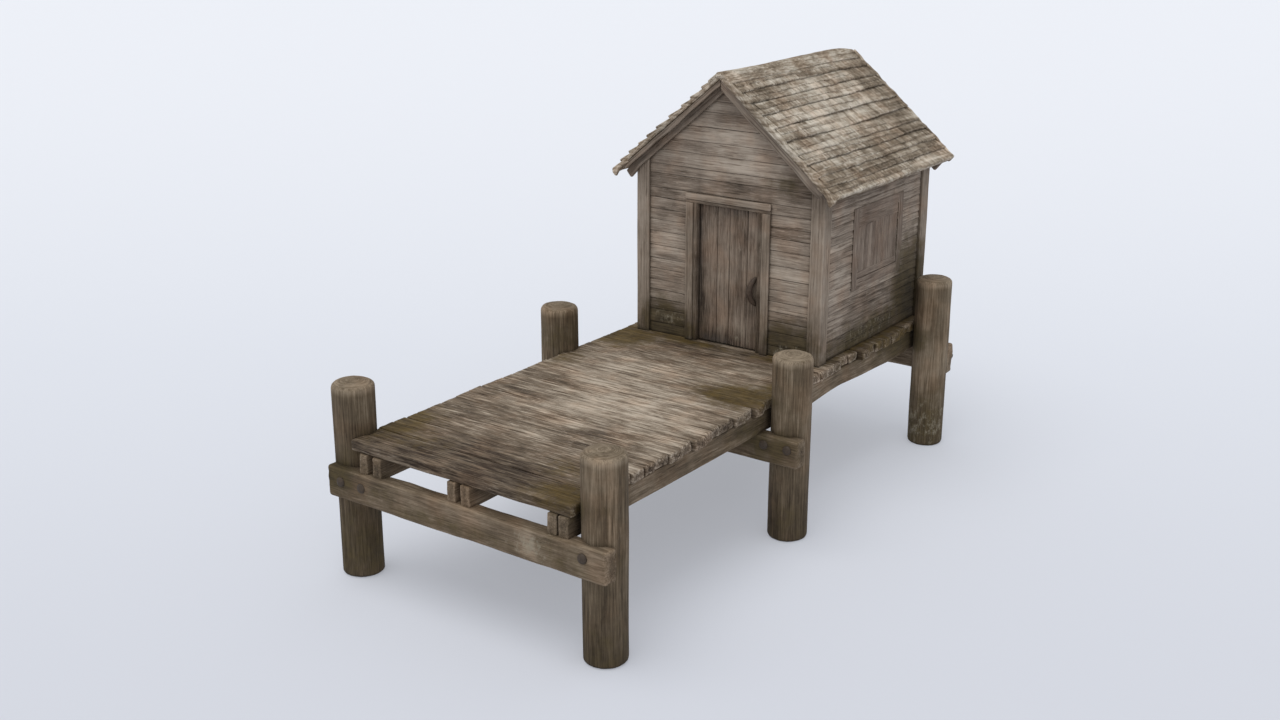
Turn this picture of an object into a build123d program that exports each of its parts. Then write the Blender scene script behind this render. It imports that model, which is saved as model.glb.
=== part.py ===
from build123d import *
import math
import os

# Fishing dock: a plank deck on six log piles with a gabled hut at its landward end.
# Millimetres, +Z up. +X is to the right of the hut door as one faces it, +Y runs
# from the open end of the deck towards the back of the hut.
# While it is drawn, y = 0 is the line of the two front piles; every piece is then
# moved by -Y_ORIGIN so that the origin lies under the middle of the whole dock.

# ---- driving dimensions ------------------------------------------------------
PILE_X = 1700.0                      # half the spacing of a pair of piles
PILE_Y = (0.0, 3565.0, 7275.0)       # front, middle and back pairs
PILE_R = 233.0
PILE_TOP = (2262.0, 2262.0, 2334.0)  # height of each pair
PILE_TOP_ROUND = 52.0
PILE_FOOT_ROUND = 40.0

BEAM_T = 180.0                       # cross-beam thickness along the dock
BEAM_DAP = 98.0                      # how far a beam is let into its piles
FRONT_BEAM = (-1850.0, 1950.0, 995.0, 1345.0)    # x from, x to, z from, z to
MIDDLE_BEAM = (-1980.0, 1980.0, 990.0, 1320.0)
BACK_BEAM = (-1895.0, 1895.0, 962.0, 1358.0)

STRINGER_Z = (1320.0, 1565.0)
STRINGER_Y = (-270.0, 7700.0)
STRINGERS_LEFT = ((-1385.0, -1270.0), (-1190.0, -1070.0))
STRINGERS_CENTRE = ((-125.0, -10.0), (60.0, 185.0))
STRINGERS_RIGHT = ((1195.0, 1310.0), (1332.0, 1455.0))
NOTCH_GAP = 3.0                      # play in a notch over a beam, along the dock

DECK_X = 1545.0                      # half width of the deck
DECK_Z = (1565.0, 1690.0)
DECK_Y = (-250.0, 4785.0, 7730.0)    # open end, hut front, back end
DECK_PILE_GAP = 9.0                  # scribed gap round a pile

HUT_X = 1370.0                       # outer face of the corner posts
HUT_Y = (4785.0, 7640.0)
POST = 185.0
WALL_SET = 32.0                      # wall face behind the post face
WALL_T = 90.0

ROOF_APEX = 5213.0                   # where the two roof planes would meet
ROOF_SLOPE = 0.834                   # fall per unit run
ROOF_T = 85.0                        # shingles and boarding, square to the slope
ROOF_EAVE_X = 1635.0
ROOF_Y = (4560.0, 7840.0)
RIDGE_TOP = 5164.0
RIDGE_X = 175.0
RIDGE_T = 50.0
BARGE_LEFT = (85.0, 150.0)           # board, measured square down from the roof plane
BARGE_RIGHT = (85.0, 190.0)
BARGE_T = 45.0
BARGE_SET = 25.0
BARGE_EAVE_X = 1505.0
GABLE_RAFTER_T = 45.0                # stands against the faces of the corner posts
GABLE_RAFTER = ((1560.0, 200.0), (1580.0, 240.0))   # tail end and lower edge, front and back
RAFTER_D = 95.0
RAFTER_W = 72.0
RAFTER_Y = (5300.0, 5900.0, 6495.0, 7080.0)
RAFTER_TAIL_X = (1240.0, 1575.0, 1575.0, 1240.0)

DOOR_X = 445.0                       # half the clear opening
DOOR_Z = 3490.0
LINING_T = 55.0
CASING_X = 620.0
CASING_Z = 3610.0
CASING_T = 32.0
LEAF_X = (-437.0, 435.0)
LEAF_Z = (1703.0, 3480.0)
LEAF_Y = (4855.0, 4893.0)            # planks
LEDGE_T = 25.0
LEDGE_Z = (1960.0, 2590.0, 3220.0)
LEDGE_H = 130.0
LEDGE_X = (-420.0, 418.0)
PIVOT = (-455.0, 4936.0)
STRAP_Z = (1960.0, 3220.0)
STRAP_T = 6.0
STRAP_H = 44.0
STRAP_END = 240.0
EYE_R = 15.0
PIN_R = 8.0
PIN_GAP = 0.6
HANDLE_X = (410.0, 351.0)            # ends and crown of the pull
HANDLE_Z = (2292.0, 2470.0, 2648.0)
HANDLE_OUT = 72.0                    # how far the crown stands off the leaf
HANDLE_R = ((0.0, 18.0), (0.25, 33.0), (0.5, 39.0), (0.75, 35.0), (1.0, 18.0))   # thin at the ends, full in the hand

WINDOW_Y = (5730.0, 6820.0)
WINDOW_Z = (2580.0, 3370.0)
WINDOW_BOARD = 130.0
WINDOW_BOARD_T = 26.0
SHUTTER_T = 55.0
SHUTTER_GAP = 3.0
SHUTTER_SET = 14.0                   # shutter face behind the wall face

Y_ORIGIN = (FRONT_BEAM_FACE := PILE_Y[0] - PILE_R + BEAM_DAP - BEAM_T) / 2.0 + ROOF_Y[1] / 2.0

# ---- small helpers -----------------------------------------------------------
COS = 1.0 / math.hypot(1.0, ROOF_SLOPE)
SIN = ROOF_SLOPE * COS
parts = {}


def block(x0, x1, y0, y1, z0, z1):
    return Pos((x0 + x1) / 2, (y0 + y1) / 2, (z0 + z1) / 2) * Box(x1 - x0, y1 - y0, z1 - z0)


def prism_y(points, y0, y1):
    """Closed outline in (x, z), pulled from y0 to y1."""
    face = Plane.XZ * make_face(Polyline(*[(px, pz) for px, pz in points], close=True))
    return extrude(Pos(0, y1, 0) * face, amount=y1 - y0)


def roof_z(x, depth=0.0):
    """Height of the roof plane at x, sunk square to the slope by depth."""
    return ROOF_APEX - ROOF_SLOPE * abs(x) - depth / COS


def band(x_out, d0, d1, side):
    """Outline in (x, z) of a slab of one roof slope, from depth d0 to d1,
    cut square at its lower end."""
    tip = (x_out, ROOF_APEX - ROOF_SLOPE * x_out)
    low = (tip[0] - d1 * SIN, tip[1] - d1 * COS)
    upp = (tip[0] - d0 * SIN, tip[1] - d0 * COS)
    pts = [(0.0, roof_z(0, d0)), upp, low, (0.0, roof_z(0, d1))]
    return [(side * px, pz) for px, pz in pts]


def under_roof(x0, x1, y0, y1, z0):
    """A wall piece from z0 up to the underside of the roof."""
    pts = [(x0, z0), (x1, z0), (x1, roof_z(x1, ROOF_T))]
    if x0 < 0 < x1:
        pts.append((0.0, roof_z(0, ROOF_T)))
    pts.append((x0, roof_z(x0, ROOF_T)))
    return prism_y(pts, y0, y1)


def add(name, *shapes):
    parts[name] = shapes[0] if len(shapes) == 1 else Compound(children=[s for s in shapes])


# ---- piles and cross-beams ---------------------------------------------------
def beam(spec, y0):
    x0, x1, z0, z1 = spec
    b = block(x0, x1, y0, y0 + BEAM_T, z0, z1)
    return chamfer(b.edges(), 12.0)


def beam_space(spec, y0, play=0.0, lift=0.0):
    x0, x1, z0, z1 = spec
    return block(x0, x1, y0 - play, y0 + BEAM_T + play, z0, z1 + lift)


front_y = FRONT_BEAM_FACE
middle_y = PILE_Y[1] - PILE_R + BEAM_DAP - BEAM_T
back_y = PILE_Y[2] + PILE_R - BEAM_DAP
beam_spaces = (beam_space(FRONT_BEAM, front_y), beam_space(MIDDLE_BEAM, middle_y),
               beam_space(BACK_BEAM, back_y))

for row, (name, y, top) in enumerate(zip(("front", "middle", "back"), PILE_Y, PILE_TOP)):
    for side, sx in (("left", -1), ("right", 1)):
        log = Cylinder(PILE_R, top, align=(Align.CENTER, Align.CENTER, Align.MIN))
        log = fillet(log.edges().filter_by(GeomType.CIRCLE).sort_by(Axis.Z)[-1:], PILE_TOP_ROUND)
        log = fillet(log.edges().filter_by(GeomType.CIRCLE).sort_by(Axis.Z)[:1], PILE_FOOT_ROUND)
        log = Pos(sx * PILE_X, y, 0) * log
        add(f"pile_{name}_{side}", log - beam_spaces[row])

add("cross_beam_front", beam(FRONT_BEAM, front_y))
add("cross_beam_middle", beam(MIDDLE_BEAM, middle_y))
add("cross_beam_back", beam(BACK_BEAM, back_y))

# ---- stringers: three pairs laid over the beams ------------------------------
for name, pair in (("left", STRINGERS_LEFT), ("centre", STRINGERS_CENTRE), ("right", STRINGERS_RIGHT)):
    out = []
    for x0, x1 in pair:
        s = block(x0, x1, STRINGER_Y[0], STRINGER_Y[1], STRINGER_Z[0], STRINGER_Z[1])
        s = s - beam_space(FRONT_BEAM, front_y, NOTCH_GAP) - beam_space(BACK_BEAM, back_y, NOTCH_GAP, 1.0)
        out.append(s)
    add(f"stringers_{name}", *out)

# ---- deck, scribed round the piles -------------------------------------------
deck_a = block(-DECK_X, DECK_X, DECK_Y[0], DECK_Y[1], *DECK_Z)
deck_b = block(-DECK_X, DECK_X, DECK_Y[1], DECK_Y[2], *DECK_Z)
for y in PILE_Y:
    for sx in (-1, 1):
        core = Pos(sx * PILE_X, y, DECK_Z[0] - 50) * Cylinder(
            PILE_R + DECK_PILE_GAP, 300, align=(Align.CENTER, Align.CENTER, Align.MIN))
        if y < DECK_Y[1]:
            deck_a = deck_a - core
        else:
            deck_b = deck_b - core
add("deck_front", deck_a)
add("hut_floor", deck_b)

# ---- hut: posts and walls ----------------------------------------------------
FLOOR = DECK_Z[1]
px0, px1 = HUT_X - POST, HUT_X
wy0, wy1 = HUT_Y[0] + POST, HUT_Y[1] - POST
for name, y0, y1 in (("front", HUT_Y[0], wy0), ("back", wy1, HUT_Y[1])):
    add(f"corner_post_{name}_left", under_roof(-px1, -px0, y0, y1, FLOOR))
    add(f"corner_post_{name}_right", under_roof(px0, px1, y0, y1, FLOOR))

fy0 = HUT_Y[0] + WALL_SET
fy1 = fy0 + WALL_T
by1 = HUT_Y[1] - WALL_SET
by0 = by1 - WALL_T
open_x = DOOR_X + LINING_T
open_z = DOOR_Z + LINING_T
add("front_wall_left", block(-px0, -open_x, fy0, fy1, FLOOR, open_z))
add("front_wall_right", block(open_x, px0, fy0, fy1, FLOOR, open_z))
add("front_gable", under_roof(-px0, px0, fy0, fy1, open_z))
add("back_wall", under_roof(-px0, px0, by0, by1, FLOOR))

# ---- roof timbers ------------------------------------------------------------
rafters = []
for y, tail in zip(RAFTER_Y, RAFTER_TAIL_X):
    for side in (-1, 1):
        r = prism_y(band(tail, ROOF_T, ROOF_T + RAFTER_D, side), y - RAFTER_W / 2, y + RAFTER_W / 2)
        r = r - block(-2, 2, y - 100, y + 100, 4000, 5300)
        rafters.append(r)
for y0, (tail, low) in ((HUT_Y[0] - GABLE_RAFTER_T, GABLE_RAFTER[0]), (HUT_Y[1], GABLE_RAFTER[1])):
    for side in (-1, 1):
        r = prism_y(band(tail, ROOF_T, low, side), y0, y0 + GABLE_RAFTER_T)
        r = r - block(-2, 2, y0 - 100, y0 + 150, 4000, 5300)
        rafters.append(r)
add("rafters", *rafters)

wx1 = HUT_X - WALL_SET
wx0 = wx1 - WALL_T
for name, side in (("left", -1), ("right", 1)):
    x0, x1 = sorted((side * wx0, side * wx1))
    over = under_roof(x0, x1, wy0, wy1, WINDOW_Z[1])
    for r in rafters[:2 * len(RAFTER_Y)]:
        over = over - r
    add(f"{name}_wall_over_window", over)
    add(f"{name}_wall_under_window", block(x0, x1, wy0, wy1, FLOOR, WINDOW_Z[0]))
    add(f"{name}_wall_beside_window",
        block(x0, x1, wy0, WINDOW_Y[0], *WINDOW_Z),
        block(x0, x1, WINDOW_Y[1], wy1, *WINDOW_Z))
    # surround: four boards on the wall face, with 2 mm joints
    b0, b1 = sorted((side * wx1, side * (wx1 + WINDOW_BOARD_T)))
    w, g = WINDOW_BOARD, 2.0
    add(f"{name}_window_surround",
        block(b0, b1, WINDOW_Y[0] - w, WINDOW_Y[0], WINDOW_Z[0] - w, WINDOW_Z[1] + w),
        block(b0, b1, WINDOW_Y[1], WINDOW_Y[1] + w, WINDOW_Z[0] - w, WINDOW_Z[1] + w),
        block(b0, b1, WINDOW_Y[0] + g, WINDOW_Y[1] - g, WINDOW_Z[1], WINDOW_Z[1] + w),
        block(b0, b1, WINDOW_Y[0] + g, WINDOW_Y[1] - g, WINDOW_Z[0] - w, WINDOW_Z[0]))
    s0, s1 = sorted((side * (wx1 - SHUTTER_SET - SHUTTER_T), side * (wx1 - SHUTTER_SET)))
    k = SHUTTER_GAP
    add(f"{name}_window_shutter",
        block(s0, s1, WINDOW_Y[0] + k, WINDOW_Y[1] - k, WINDOW_Z[0], WINDOW_Z[1] - k))

# ---- roof covering, ridge and barge boards -----------------------------------
cap_pts = [(RIDGE_X, roof_z(RIDGE_X)), (RIDGE_X - RIDGE_T * SIN, roof_z(RIDGE_X) - RIDGE_T * COS),
           (0.0, roof_z(0, RIDGE_T)), (-RIDGE_X + RIDGE_T * SIN, roof_z(RIDGE_X) - RIDGE_T * COS),
           (-RIDGE_X, roof_z(RIDGE_X)), (-(ROOF_APEX - RIDGE_TOP) / ROOF_SLOPE, RIDGE_TOP),
           ((ROOF_APEX - RIDGE_TOP) / ROOF_SLOPE, RIDGE_TOP)]
cap = prism_y(cap_pts, ROOF_Y[0], ROOF_Y[1])
trim = block(-400, 400, ROOF_Y[0] - 10, ROOF_Y[1] + 10, RIDGE_TOP, 5400)
add("ridge_cap", cap)
for name, side in (("left", -1), ("right", 1)):
    slab = prism_y(band(ROOF_EAVE_X, 0.0, ROOF_T, side), ROOF_Y[0], ROOF_Y[1])
    add(f"roof_{name}", slab - cap - trim)
    boards = []
    for y0 in (ROOF_Y[0] + BARGE_SET, ROOF_Y[1] - BARGE_SET - BARGE_T):
        top, low = BARGE_LEFT if side < 0 else BARGE_RIGHT
        b = prism_y(band(BARGE_EAVE_X, top, low, side), y0, y0 + BARGE_T)
        boards.append(b - block(-1, 1, y0 - 10, y0 + BARGE_T + 10, 4000, 5300))
    add(f"barge_boards_{name}", *boards)

# ---- door frame --------------------------------------------------------------
cy0 = fy0 - CASING_T
for name, side in (("left", -1), ("right", 1)):
    l0, l1 = sorted((side * DOOR_X, side * open_x))
    c0, c1 = sorted((side * DOOR_X, side * CASING_X))
    add(f"door_jamb_{name}", block(l0, l1, fy0, fy1, FLOOR, DOOR_Z) + block(c0, c1, cy0, fy0, FLOOR, DOOR_Z))
add("door_head", block(-open_x, open_x, fy0, fy1, DOOR_Z, open_z)
    + block(-CASING_X, CASING_X, cy0, fy0, DOOR_Z, CASING_Z))

# ---- door leaf, its pull and its hinges --------------------------------------
leaf = block(*LEAF_X, *LEAF_Y, *LEAF_Z)
for z in LEDGE_Z:
    leaf = leaf + block(*LEDGE_X, LEAF_Y[1], LEAF_Y[1] + LEDGE_T, z - LEDGE_H / 2, z + LEDGE_H / 2)
add("door_leaf", leaf)

lead = 12.0
arc = ThreePointArc((HANDLE_X[0], LEAF_Y[0] + lead, HANDLE_Z[0]),
                    (HANDLE_X[1], LEAF_Y[0] - HANDLE_OUT, HANDLE_Z[1]),
                    (HANDLE_X[0], LEAF_Y[0] + lead, HANDLE_Z[2]))
pull = loft([Plane(origin=arc @ t, z_dir=arc % t) * Circle(r) for t, r in HANDLE_R])
pull = pull - block(200, 600, LEAF_Y[0], LEAF_Y[0] + 100, 2100, 2900)
add("door_pull", pull)

strap_y0 = LEAF_Y[1] + LEDGE_T
px, py = PIVOT
straps, pintles = [], []
for z in STRAP_Z:
    h = STRAP_H / 2
    s = block(LEDGE_X[0] + 2, STRAP_END, strap_y0, strap_y0 + STRAP_T, z - h, z + h)
    s = s + Pos(px, py, z) * Cylinder(EYE_R, STRAP_H)
    link = extrude(Pos(0, 0, z - h) * make_face(Polyline(
        (px, py - EYE_R), (LEDGE_X[0] + 2, strap_y0), (LEDGE_X[0] + 2, strap_y0 + STRAP_T),
        (px, py - 2), close=True)), amount=STRAP_H)
    s = s + link
    s = s - Pos(px, py, z) * Cylinder(PIN_R + PIN_GAP, STRAP_H * 2)
    straps.append(s)
    arm_z1 = z - h - 5
    p = block(px - 10, px + 10, fy1, py + 12, arm_z1 - 24, arm_z1)
    p = p + block(px - 62, px + 8, fy1, fy1 + 6, arm_z1 - 70, arm_z1)
    p = p + Pos(px, py, arm_z1 - 2) * Cylinder(PIN_R, STRAP_H + 16, align=(Align.CENTER, Align.CENTER, Align.MIN))
    pintles.append(p)
add("door_hinge_straps", *straps)
add("door_hinge_pintles", *pintles)

# ---- write -------------------------------------------------------------------
if __name__ == "__main__":
    os.makedirs("parts", exist_ok=True)
    for name, shape in parts.items():
        export_step(Pos(0, -Y_ORIGIN, 0) * shape, f"parts/{name}.step")
    lo, hi = [1e9] * 3, [-1e9] * 3
    for shape in parts.values():
        bb = shape.bounding_box()
        lo = [min(a, b) for a, b in zip(lo, (bb.min.X, bb.min.Y - Y_ORIGIN, bb.min.Z))]
        hi = [max(a, b) for a, b in zip(hi, (bb.max.X, bb.max.Y - Y_ORIGIN, bb.max.Z))]
    print(len(parts), "nodes; box", [round(v, 1) for v in lo], [round(v, 1) for v in hi], "y origin", Y_ORIGIN)
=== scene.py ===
import math

import bpy
import numpy as np
from mathutils import Matrix, Vector


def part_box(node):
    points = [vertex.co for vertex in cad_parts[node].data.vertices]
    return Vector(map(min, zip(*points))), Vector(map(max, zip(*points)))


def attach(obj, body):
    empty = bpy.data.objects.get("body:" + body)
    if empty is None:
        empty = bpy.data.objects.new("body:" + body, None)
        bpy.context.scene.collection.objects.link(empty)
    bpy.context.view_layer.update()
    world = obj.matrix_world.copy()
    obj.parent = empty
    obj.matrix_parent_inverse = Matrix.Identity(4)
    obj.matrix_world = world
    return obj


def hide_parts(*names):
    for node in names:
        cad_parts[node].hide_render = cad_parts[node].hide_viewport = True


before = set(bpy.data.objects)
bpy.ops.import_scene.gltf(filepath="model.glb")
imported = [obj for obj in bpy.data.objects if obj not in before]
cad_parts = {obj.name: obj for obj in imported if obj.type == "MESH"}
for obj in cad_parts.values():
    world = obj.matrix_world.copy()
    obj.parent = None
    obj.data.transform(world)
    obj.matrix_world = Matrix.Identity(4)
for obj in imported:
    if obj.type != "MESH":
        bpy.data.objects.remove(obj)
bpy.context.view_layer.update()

S = bpy.context.scene
Y0 = 3.7625                     # the model's y is measured from the front piles here, the frame's from the middle
rng = np.random.default_rng(41)

# ------------------------------------------------------------------ camera, light, floor
cam = bpy.data.cameras.new("cam")
cam_o = bpy.data.objects.new("cam", cam)
S.collection.objects.link(cam_o)
cam.sensor_width = 36.0
cam.sensor_fit = "HORIZONTAL"
cam.lens = 36.0 * 1491.64 / 1280.0
az, el = math.radians(35.7298), math.radians(18.6168)
fw = Vector((-math.sin(az) * math.cos(el), math.cos(az) * math.cos(el), -math.sin(el)))
rt = Vector((math.cos(az), math.sin(az), 0))
up = rt.cross(fw)
cam_o.matrix_world = Matrix(((rt.x, up.x, -fw.x, 9.6761), (rt.y, up.y, -fw.y, -10.5032 - Y0), (rt.z, up.z, -fw.z, 7.5944), (0, 0, 0, 1)))
cam.clip_end = 400
S.camera = cam_o
S.view_settings.view_transform = "Standard"
S.view_settings.look = "None"

world = bpy.data.worlds.new("studio")
S.world = world
world.use_nodes = True
world.node_tree.nodes["Background"].inputs[0].default_value = (0.93, 0.96, 1.0, 1)
world.node_tree.nodes["Background"].inputs[1].default_value = 0.66


def sun(name, direction, strength, angle, col):
    d = bpy.data.lights.new(name, "SUN")
    d.energy = strength
    d.angle = math.radians(angle)
    d.color = col
    o = bpy.data.objects.new(name, d)
    o.rotation_euler = Vector(direction).to_track_quat("-Z", "Y").to_euler()
    S.collection.objects.link(o)


sun("key", (0.24, 0.42, -1.60), 1.20, 48, (1.0, 0.98, 0.95))
sun("fill", (-0.55, 0.85, -0.55), 0.40, 60, (1.0, 0.97, 0.94))


# ------------------------------------------------------------------ node helpers
def nodes_of(name):
    m = bpy.data.materials.new(name)
    m.use_nodes = True
    nt = m.node_tree
    return m, nt, nt.nodes["Principled BSDF"]


def link(nt, a, b):
    nt.links.new(a, b)


def attr(nt, name):
    n = nt.nodes.new("ShaderNodeAttribute")
    n.attribute_name = name
    return n


def mapping(nt, vec, scale):
    n = nt.nodes.new("ShaderNodeMapping")
    n.vector_type = "POINT"
    n.inputs["Scale"].default_value = scale
    link(nt, vec, n.inputs["Vector"])
    return n.outputs[0]


def noise(nt, vec, scale=1.0, detail=4, rough=0.55, dist=0.0):
    n = nt.nodes.new("ShaderNodeTexNoise")
    n.inputs["Scale"].default_value = scale
    n.inputs["Detail"].default_value = detail
    n.inputs["Roughness"].default_value = rough
    n.inputs["Distortion"].default_value = dist
    link(nt, vec, n.inputs["Vector"])
    return n.outputs[0]


def math_(nt, op, a, b=None, c=None, clamp=False):
    n = nt.nodes.new("ShaderNodeMath")
    n.operation = op
    n.use_clamp = clamp
    for i, x in enumerate((a, b, c)):
        if x is None:
            continue
        if isinstance(x, (int, float)):
            n.inputs[i].default_value = x
        else:
            link(nt, x, n.inputs[i])
    return n.outputs[0]


def remap(nt, v, a, b, c=0.0, d=1.0):
    n = nt.nodes.new("ShaderNodeMapRange")
    n.clamp = True
    n.interpolation_type = "SMOOTHSTEP"
    link(nt, v, n.inputs[0])
    for i, x in enumerate((a, b, c, d)):
        n.inputs[i + 1].default_value = x
    return n.outputs[0]


def mix(nt, fac, a, b, blend="MIX"):
    n = nt.nodes.new("ShaderNodeMix")
    n.data_type = "RGBA"
    n.blend_type = blend
    n.clamp_factor = True
    if isinstance(fac, (int, float)):
        n.inputs[0].default_value = fac
    else:
        link(nt, fac, n.inputs[0])
    for i, x in ((6, a), (7, b)):
        if isinstance(x, tuple):
            n.inputs[i].default_value = (*x, 1)
        else:
            link(nt, x, n.inputs[i])
    return n.outputs[2]


def ramp(nt, v, stops):
    n = nt.nodes.new("ShaderNodeValToRGB")
    e = n.color_ramp.elements
    while len(e) < len(stops):
        e.new(0.5)
    for i, (p, c) in enumerate(stops):
        e[i].position = p
        e[i].color = (*c, 1)
    link(nt, v, n.inputs[0])
    return n.outputs[0]


def lin(*c):
    return tuple(((x / 255) / 12.92 if x <= 10 else ((x / 255 + 0.055) / 1.055) ** 2.4) for x in c)


def wood(name, dark, mid, light, gain=1.0, along=1.0, across=1.0, streak=1.0, crack=1.0, moss_col=(62, 53, 33), bump=1.0, rough=0.86, fleck=1.0, ao=1.0, ao_d=0.075, bands=0.0):
    m, nt, bs = nodes_of(name)
    gc = attr(nt, "gc").outputs["Vector"]
    st = attr(nt, "st")
    sep = nt.nodes.new("ShaderNodeSeparateColor")
    link(nt, st.outputs["Color"], sep.inputs[0])
    moss, darkm, bleach, lichen = sep.outputs[0], sep.outputs[1], sep.outputs[2], st.outputs["Alpha"]
    tint = attr(nt, "tint").outputs["Fac"]
    edge = attr(nt, "edge").outputs["Fac"]
    geo = nt.nodes.new("ShaderNodeTexCoord").outputs["Object"]
    fine = noise(nt, mapping(nt, gc, (3.1 * along, 66 * across, 66 * across)), 1, 6, 0.68, 0.25)
    mid_n = noise(nt, mapping(nt, gc, (1.8 * along, 25 * across, 25 * across)), 1, 5, 0.66, 0.5)
    broad = noise(nt, mapping(nt, gc, (1.15 * along, 6.0 * across, 6.0 * across)), 1, 3, 0.55, 0.6)
    patch = noise(nt, geo, 2.3, 6, 0.66)
    v = math_(nt, "MULTIPLY", math_(nt, "SUBTRACT", fine, 0.5), 1.25 * streak)
    v = math_(nt, "ADD", v, math_(nt, "MULTIPLY", math_(nt, "SUBTRACT", mid_n, 0.5), 0.80 * streak))
    v = math_(nt, "ADD", v, math_(nt, "MULTIPLY", math_(nt, "SUBTRACT", broad, 0.5), 0.62))
    v = math_(nt, "ADD", v, math_(nt, "MULTIPLY", math_(nt, "SUBTRACT", patch, 0.5), 0.75))
    # darker where the deep-brown blobs lie: stains, and painted shade at the top of the right wall under the eave and
    # down the door's left side
    deep = attr(nt, "deep").outputs["Fac"]
    v = math_(nt, "SUBTRACT", v, math_(nt, "MULTIPLY", deep, 0.42))
    v = math_(nt, "ADD", v, tint)
    if bands:                     # long brown and pale runs across the courses
        bn = noise(nt, mapping(nt, geo, (0.0, 1.05, 25.0)), 1, 5, 0.66, 0.35)
        v = math_(nt, "ADD", v, math_(nt, "MULTIPLY", math_(nt, "SUBTRACT", bn, 0.5), bands))
    # lighter along edges: partly worn edges, partly painted highlight
    v = math_(nt, "ADD", v, math_(nt, "MULTIPLY", edge, 0.16))
    v = math_(nt, "ADD", v, math_(nt, "MULTIPLY", bleach, 0.34))
    # darker where the dark blobs lie: stains, and painted shade under the eaves, under the door head and down the
    # door's left edge
    v = math_(nt, "SUBTRACT", v, math_(nt, "MULTIPLY", darkm, 0.30))
    v = math_(nt, "ADD", v, 0.5, clamp=True)
    col = ramp(nt, v, [(0.0, dark), (0.48, mid), (1.0, light)])
    # pale flecks where the surface has lifted
    fl_n = noise(nt, mapping(nt, gc, (7.5 * along, 58 * across, 58 * across)), 1, 4, 0.6, 0.2)
    flk = math_(nt, "MULTIPLY", remap(nt, math_(nt, "ADD", fl_n, math_(nt, "MULTIPLY", bleach, 0.06)), 0.585, 0.70), math_(nt, "MULTIPLY", math_(nt, "SUBTRACT", 1.0, math_(nt, "MULTIPLY", deep, 1.15), clamp=True), 0.42 * fleck))
    col = mix(nt, flk, col, light)
    # warm and cool drift between areas
    hue = noise(nt, geo, 2.9, 3, 0.5)
    col = mix(nt, remap(nt, hue, 0.40, 0.75), col, mix(nt, 1.0, col, (1.05, 0.96, 0.90), "MULTIPLY"))
    # dark checks that follow the grain
    ck = noise(nt, mapping(nt, gc, (1.9 * along, 34 * across, 34 * across)), 1, 3, 0.7, 0.4)
    ckl = remap(nt, ck, 0.585, 0.67)
    ckl = math_(nt, "MULTIPLY", ckl, 0.66 * crack)
    col = mix(nt, ckl, col, mix(nt, 1.0, col, (0.50, 0.46, 0.42), "MULTIPLY"))
    # moss and damp
    mn = noise(nt, geo, 6.5, 5, 0.65)
    mm = remap(nt, math_(nt, "ADD", moss, math_(nt, "MULTIPLY", math_(nt, "SUBTRACT", mn, 0.5), 1.0)), 0.12, 0.80)
    mossc = mix(nt, remap(nt, math_(nt, "ADD", math_(nt, "MULTIPLY", fine, 0.5), math_(nt, "MULTIPLY", mn, 0.5)), 0.35, 0.65), tuple(0.60 * x for x in lin(*moss_col)), tuple(1.85 * x for x in lin(*moss_col)))
    col = mix(nt, math_(nt, "MULTIPLY", math_(nt, "MULTIPLY", mm, remap(nt, moss, 0.0, 0.25)), 0.84), col, mossc)
    # grey smudge where the dark blobs lie; under the eaves, under the door head and down the door's left edge it is
    # painted shade
    dn = noise(nt, geo, 9.0, 3, 0.6)
    dm = math_(nt, "MULTIPLY", remap(nt, math_(nt, "ADD", darkm, math_(nt, "MULTIPLY", math_(nt, "SUBTRACT", dn, 0.5), 0.6)), 0.35, 1.0), 0.55)
    col = mix(nt, dm, col, lin(78, 74, 72))
    # pale lichen spots, stretched a little along the grain
    ln = noise(nt, mapping(nt, geo, (15, 15, 9)), 1, 6, 0.76)
    lm = remap(nt, math_(nt, "ADD", ln, math_(nt, "MULTIPLY", lichen, 0.16)), 0.60, 0.78)
    lm = math_(nt, "MULTIPLY", lm, math_(nt, "MULTIPLY", remap(nt, lichen, 0.04, 0.6), 0.66))
    col = mix(nt, lm, col, lin(150, 142, 124))
    # painted shade: the ambient-occlusion node darkens the colour in seams, under laps and round fixings, where shade
    # falls
    oc = nt.nodes.new("ShaderNodeAmbientOcclusion")
    oc.samples = 5
    oc.inputs["Distance"].default_value = ao_d
    ao_shade = math_(nt, "MULTIPLY", remap(nt, oc.outputs["AO"], 0.18, 0.86, 1.0, 0.0), 0.74 * ao)
    col = mix(nt, ao_shade, col, mix(nt, 1.0, col, (0.20, 0.17, 0.13), "MULTIPLY"))
    # painted shade in the gaps, laps and grooves between boards: the colour is darkened along the marked board edges
    # and groove lines
    seam_shade = attr(nt, "seam_shade").outputs["Fac"]
    col = mix(nt, math_(nt, "MULTIPLY", seam_shade, 0.72), col, mix(nt, 1.0, col, (0.26, 0.22, 0.18), "MULTIPLY"))
    if gain != 1.0:
        col = mix(nt, 1.0, col, (gain, gain, gain), "MULTIPLY")
    link(nt, col, bs.inputs["Base Color"])
    r = math_(nt, "ADD", math_(nt, "MULTIPLY", math_(nt, "SUBTRACT", mid_n, 0.5), 0.25), rough, clamp=True)
    link(nt, r, bs.inputs["Roughness"])
    bs.inputs["Specular IOR Level"].default_value = 0.22
    b = nt.nodes.new("ShaderNodeBump")
    b.inputs["Strength"].default_value = 0.55 * bump
    b.inputs["Distance"].default_value = 0.006
    h = math_(nt, "SUBTRACT", math_(nt, "ADD", fine, math_(nt, "MULTIPLY", mid_n, 0.8)), math_(nt, "MULTIPLY", ckl, 1.2))
    link(nt, h, b.inputs["Height"])
    link(nt, b.outputs[0], bs.inputs["Normal"])
    return m


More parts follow.
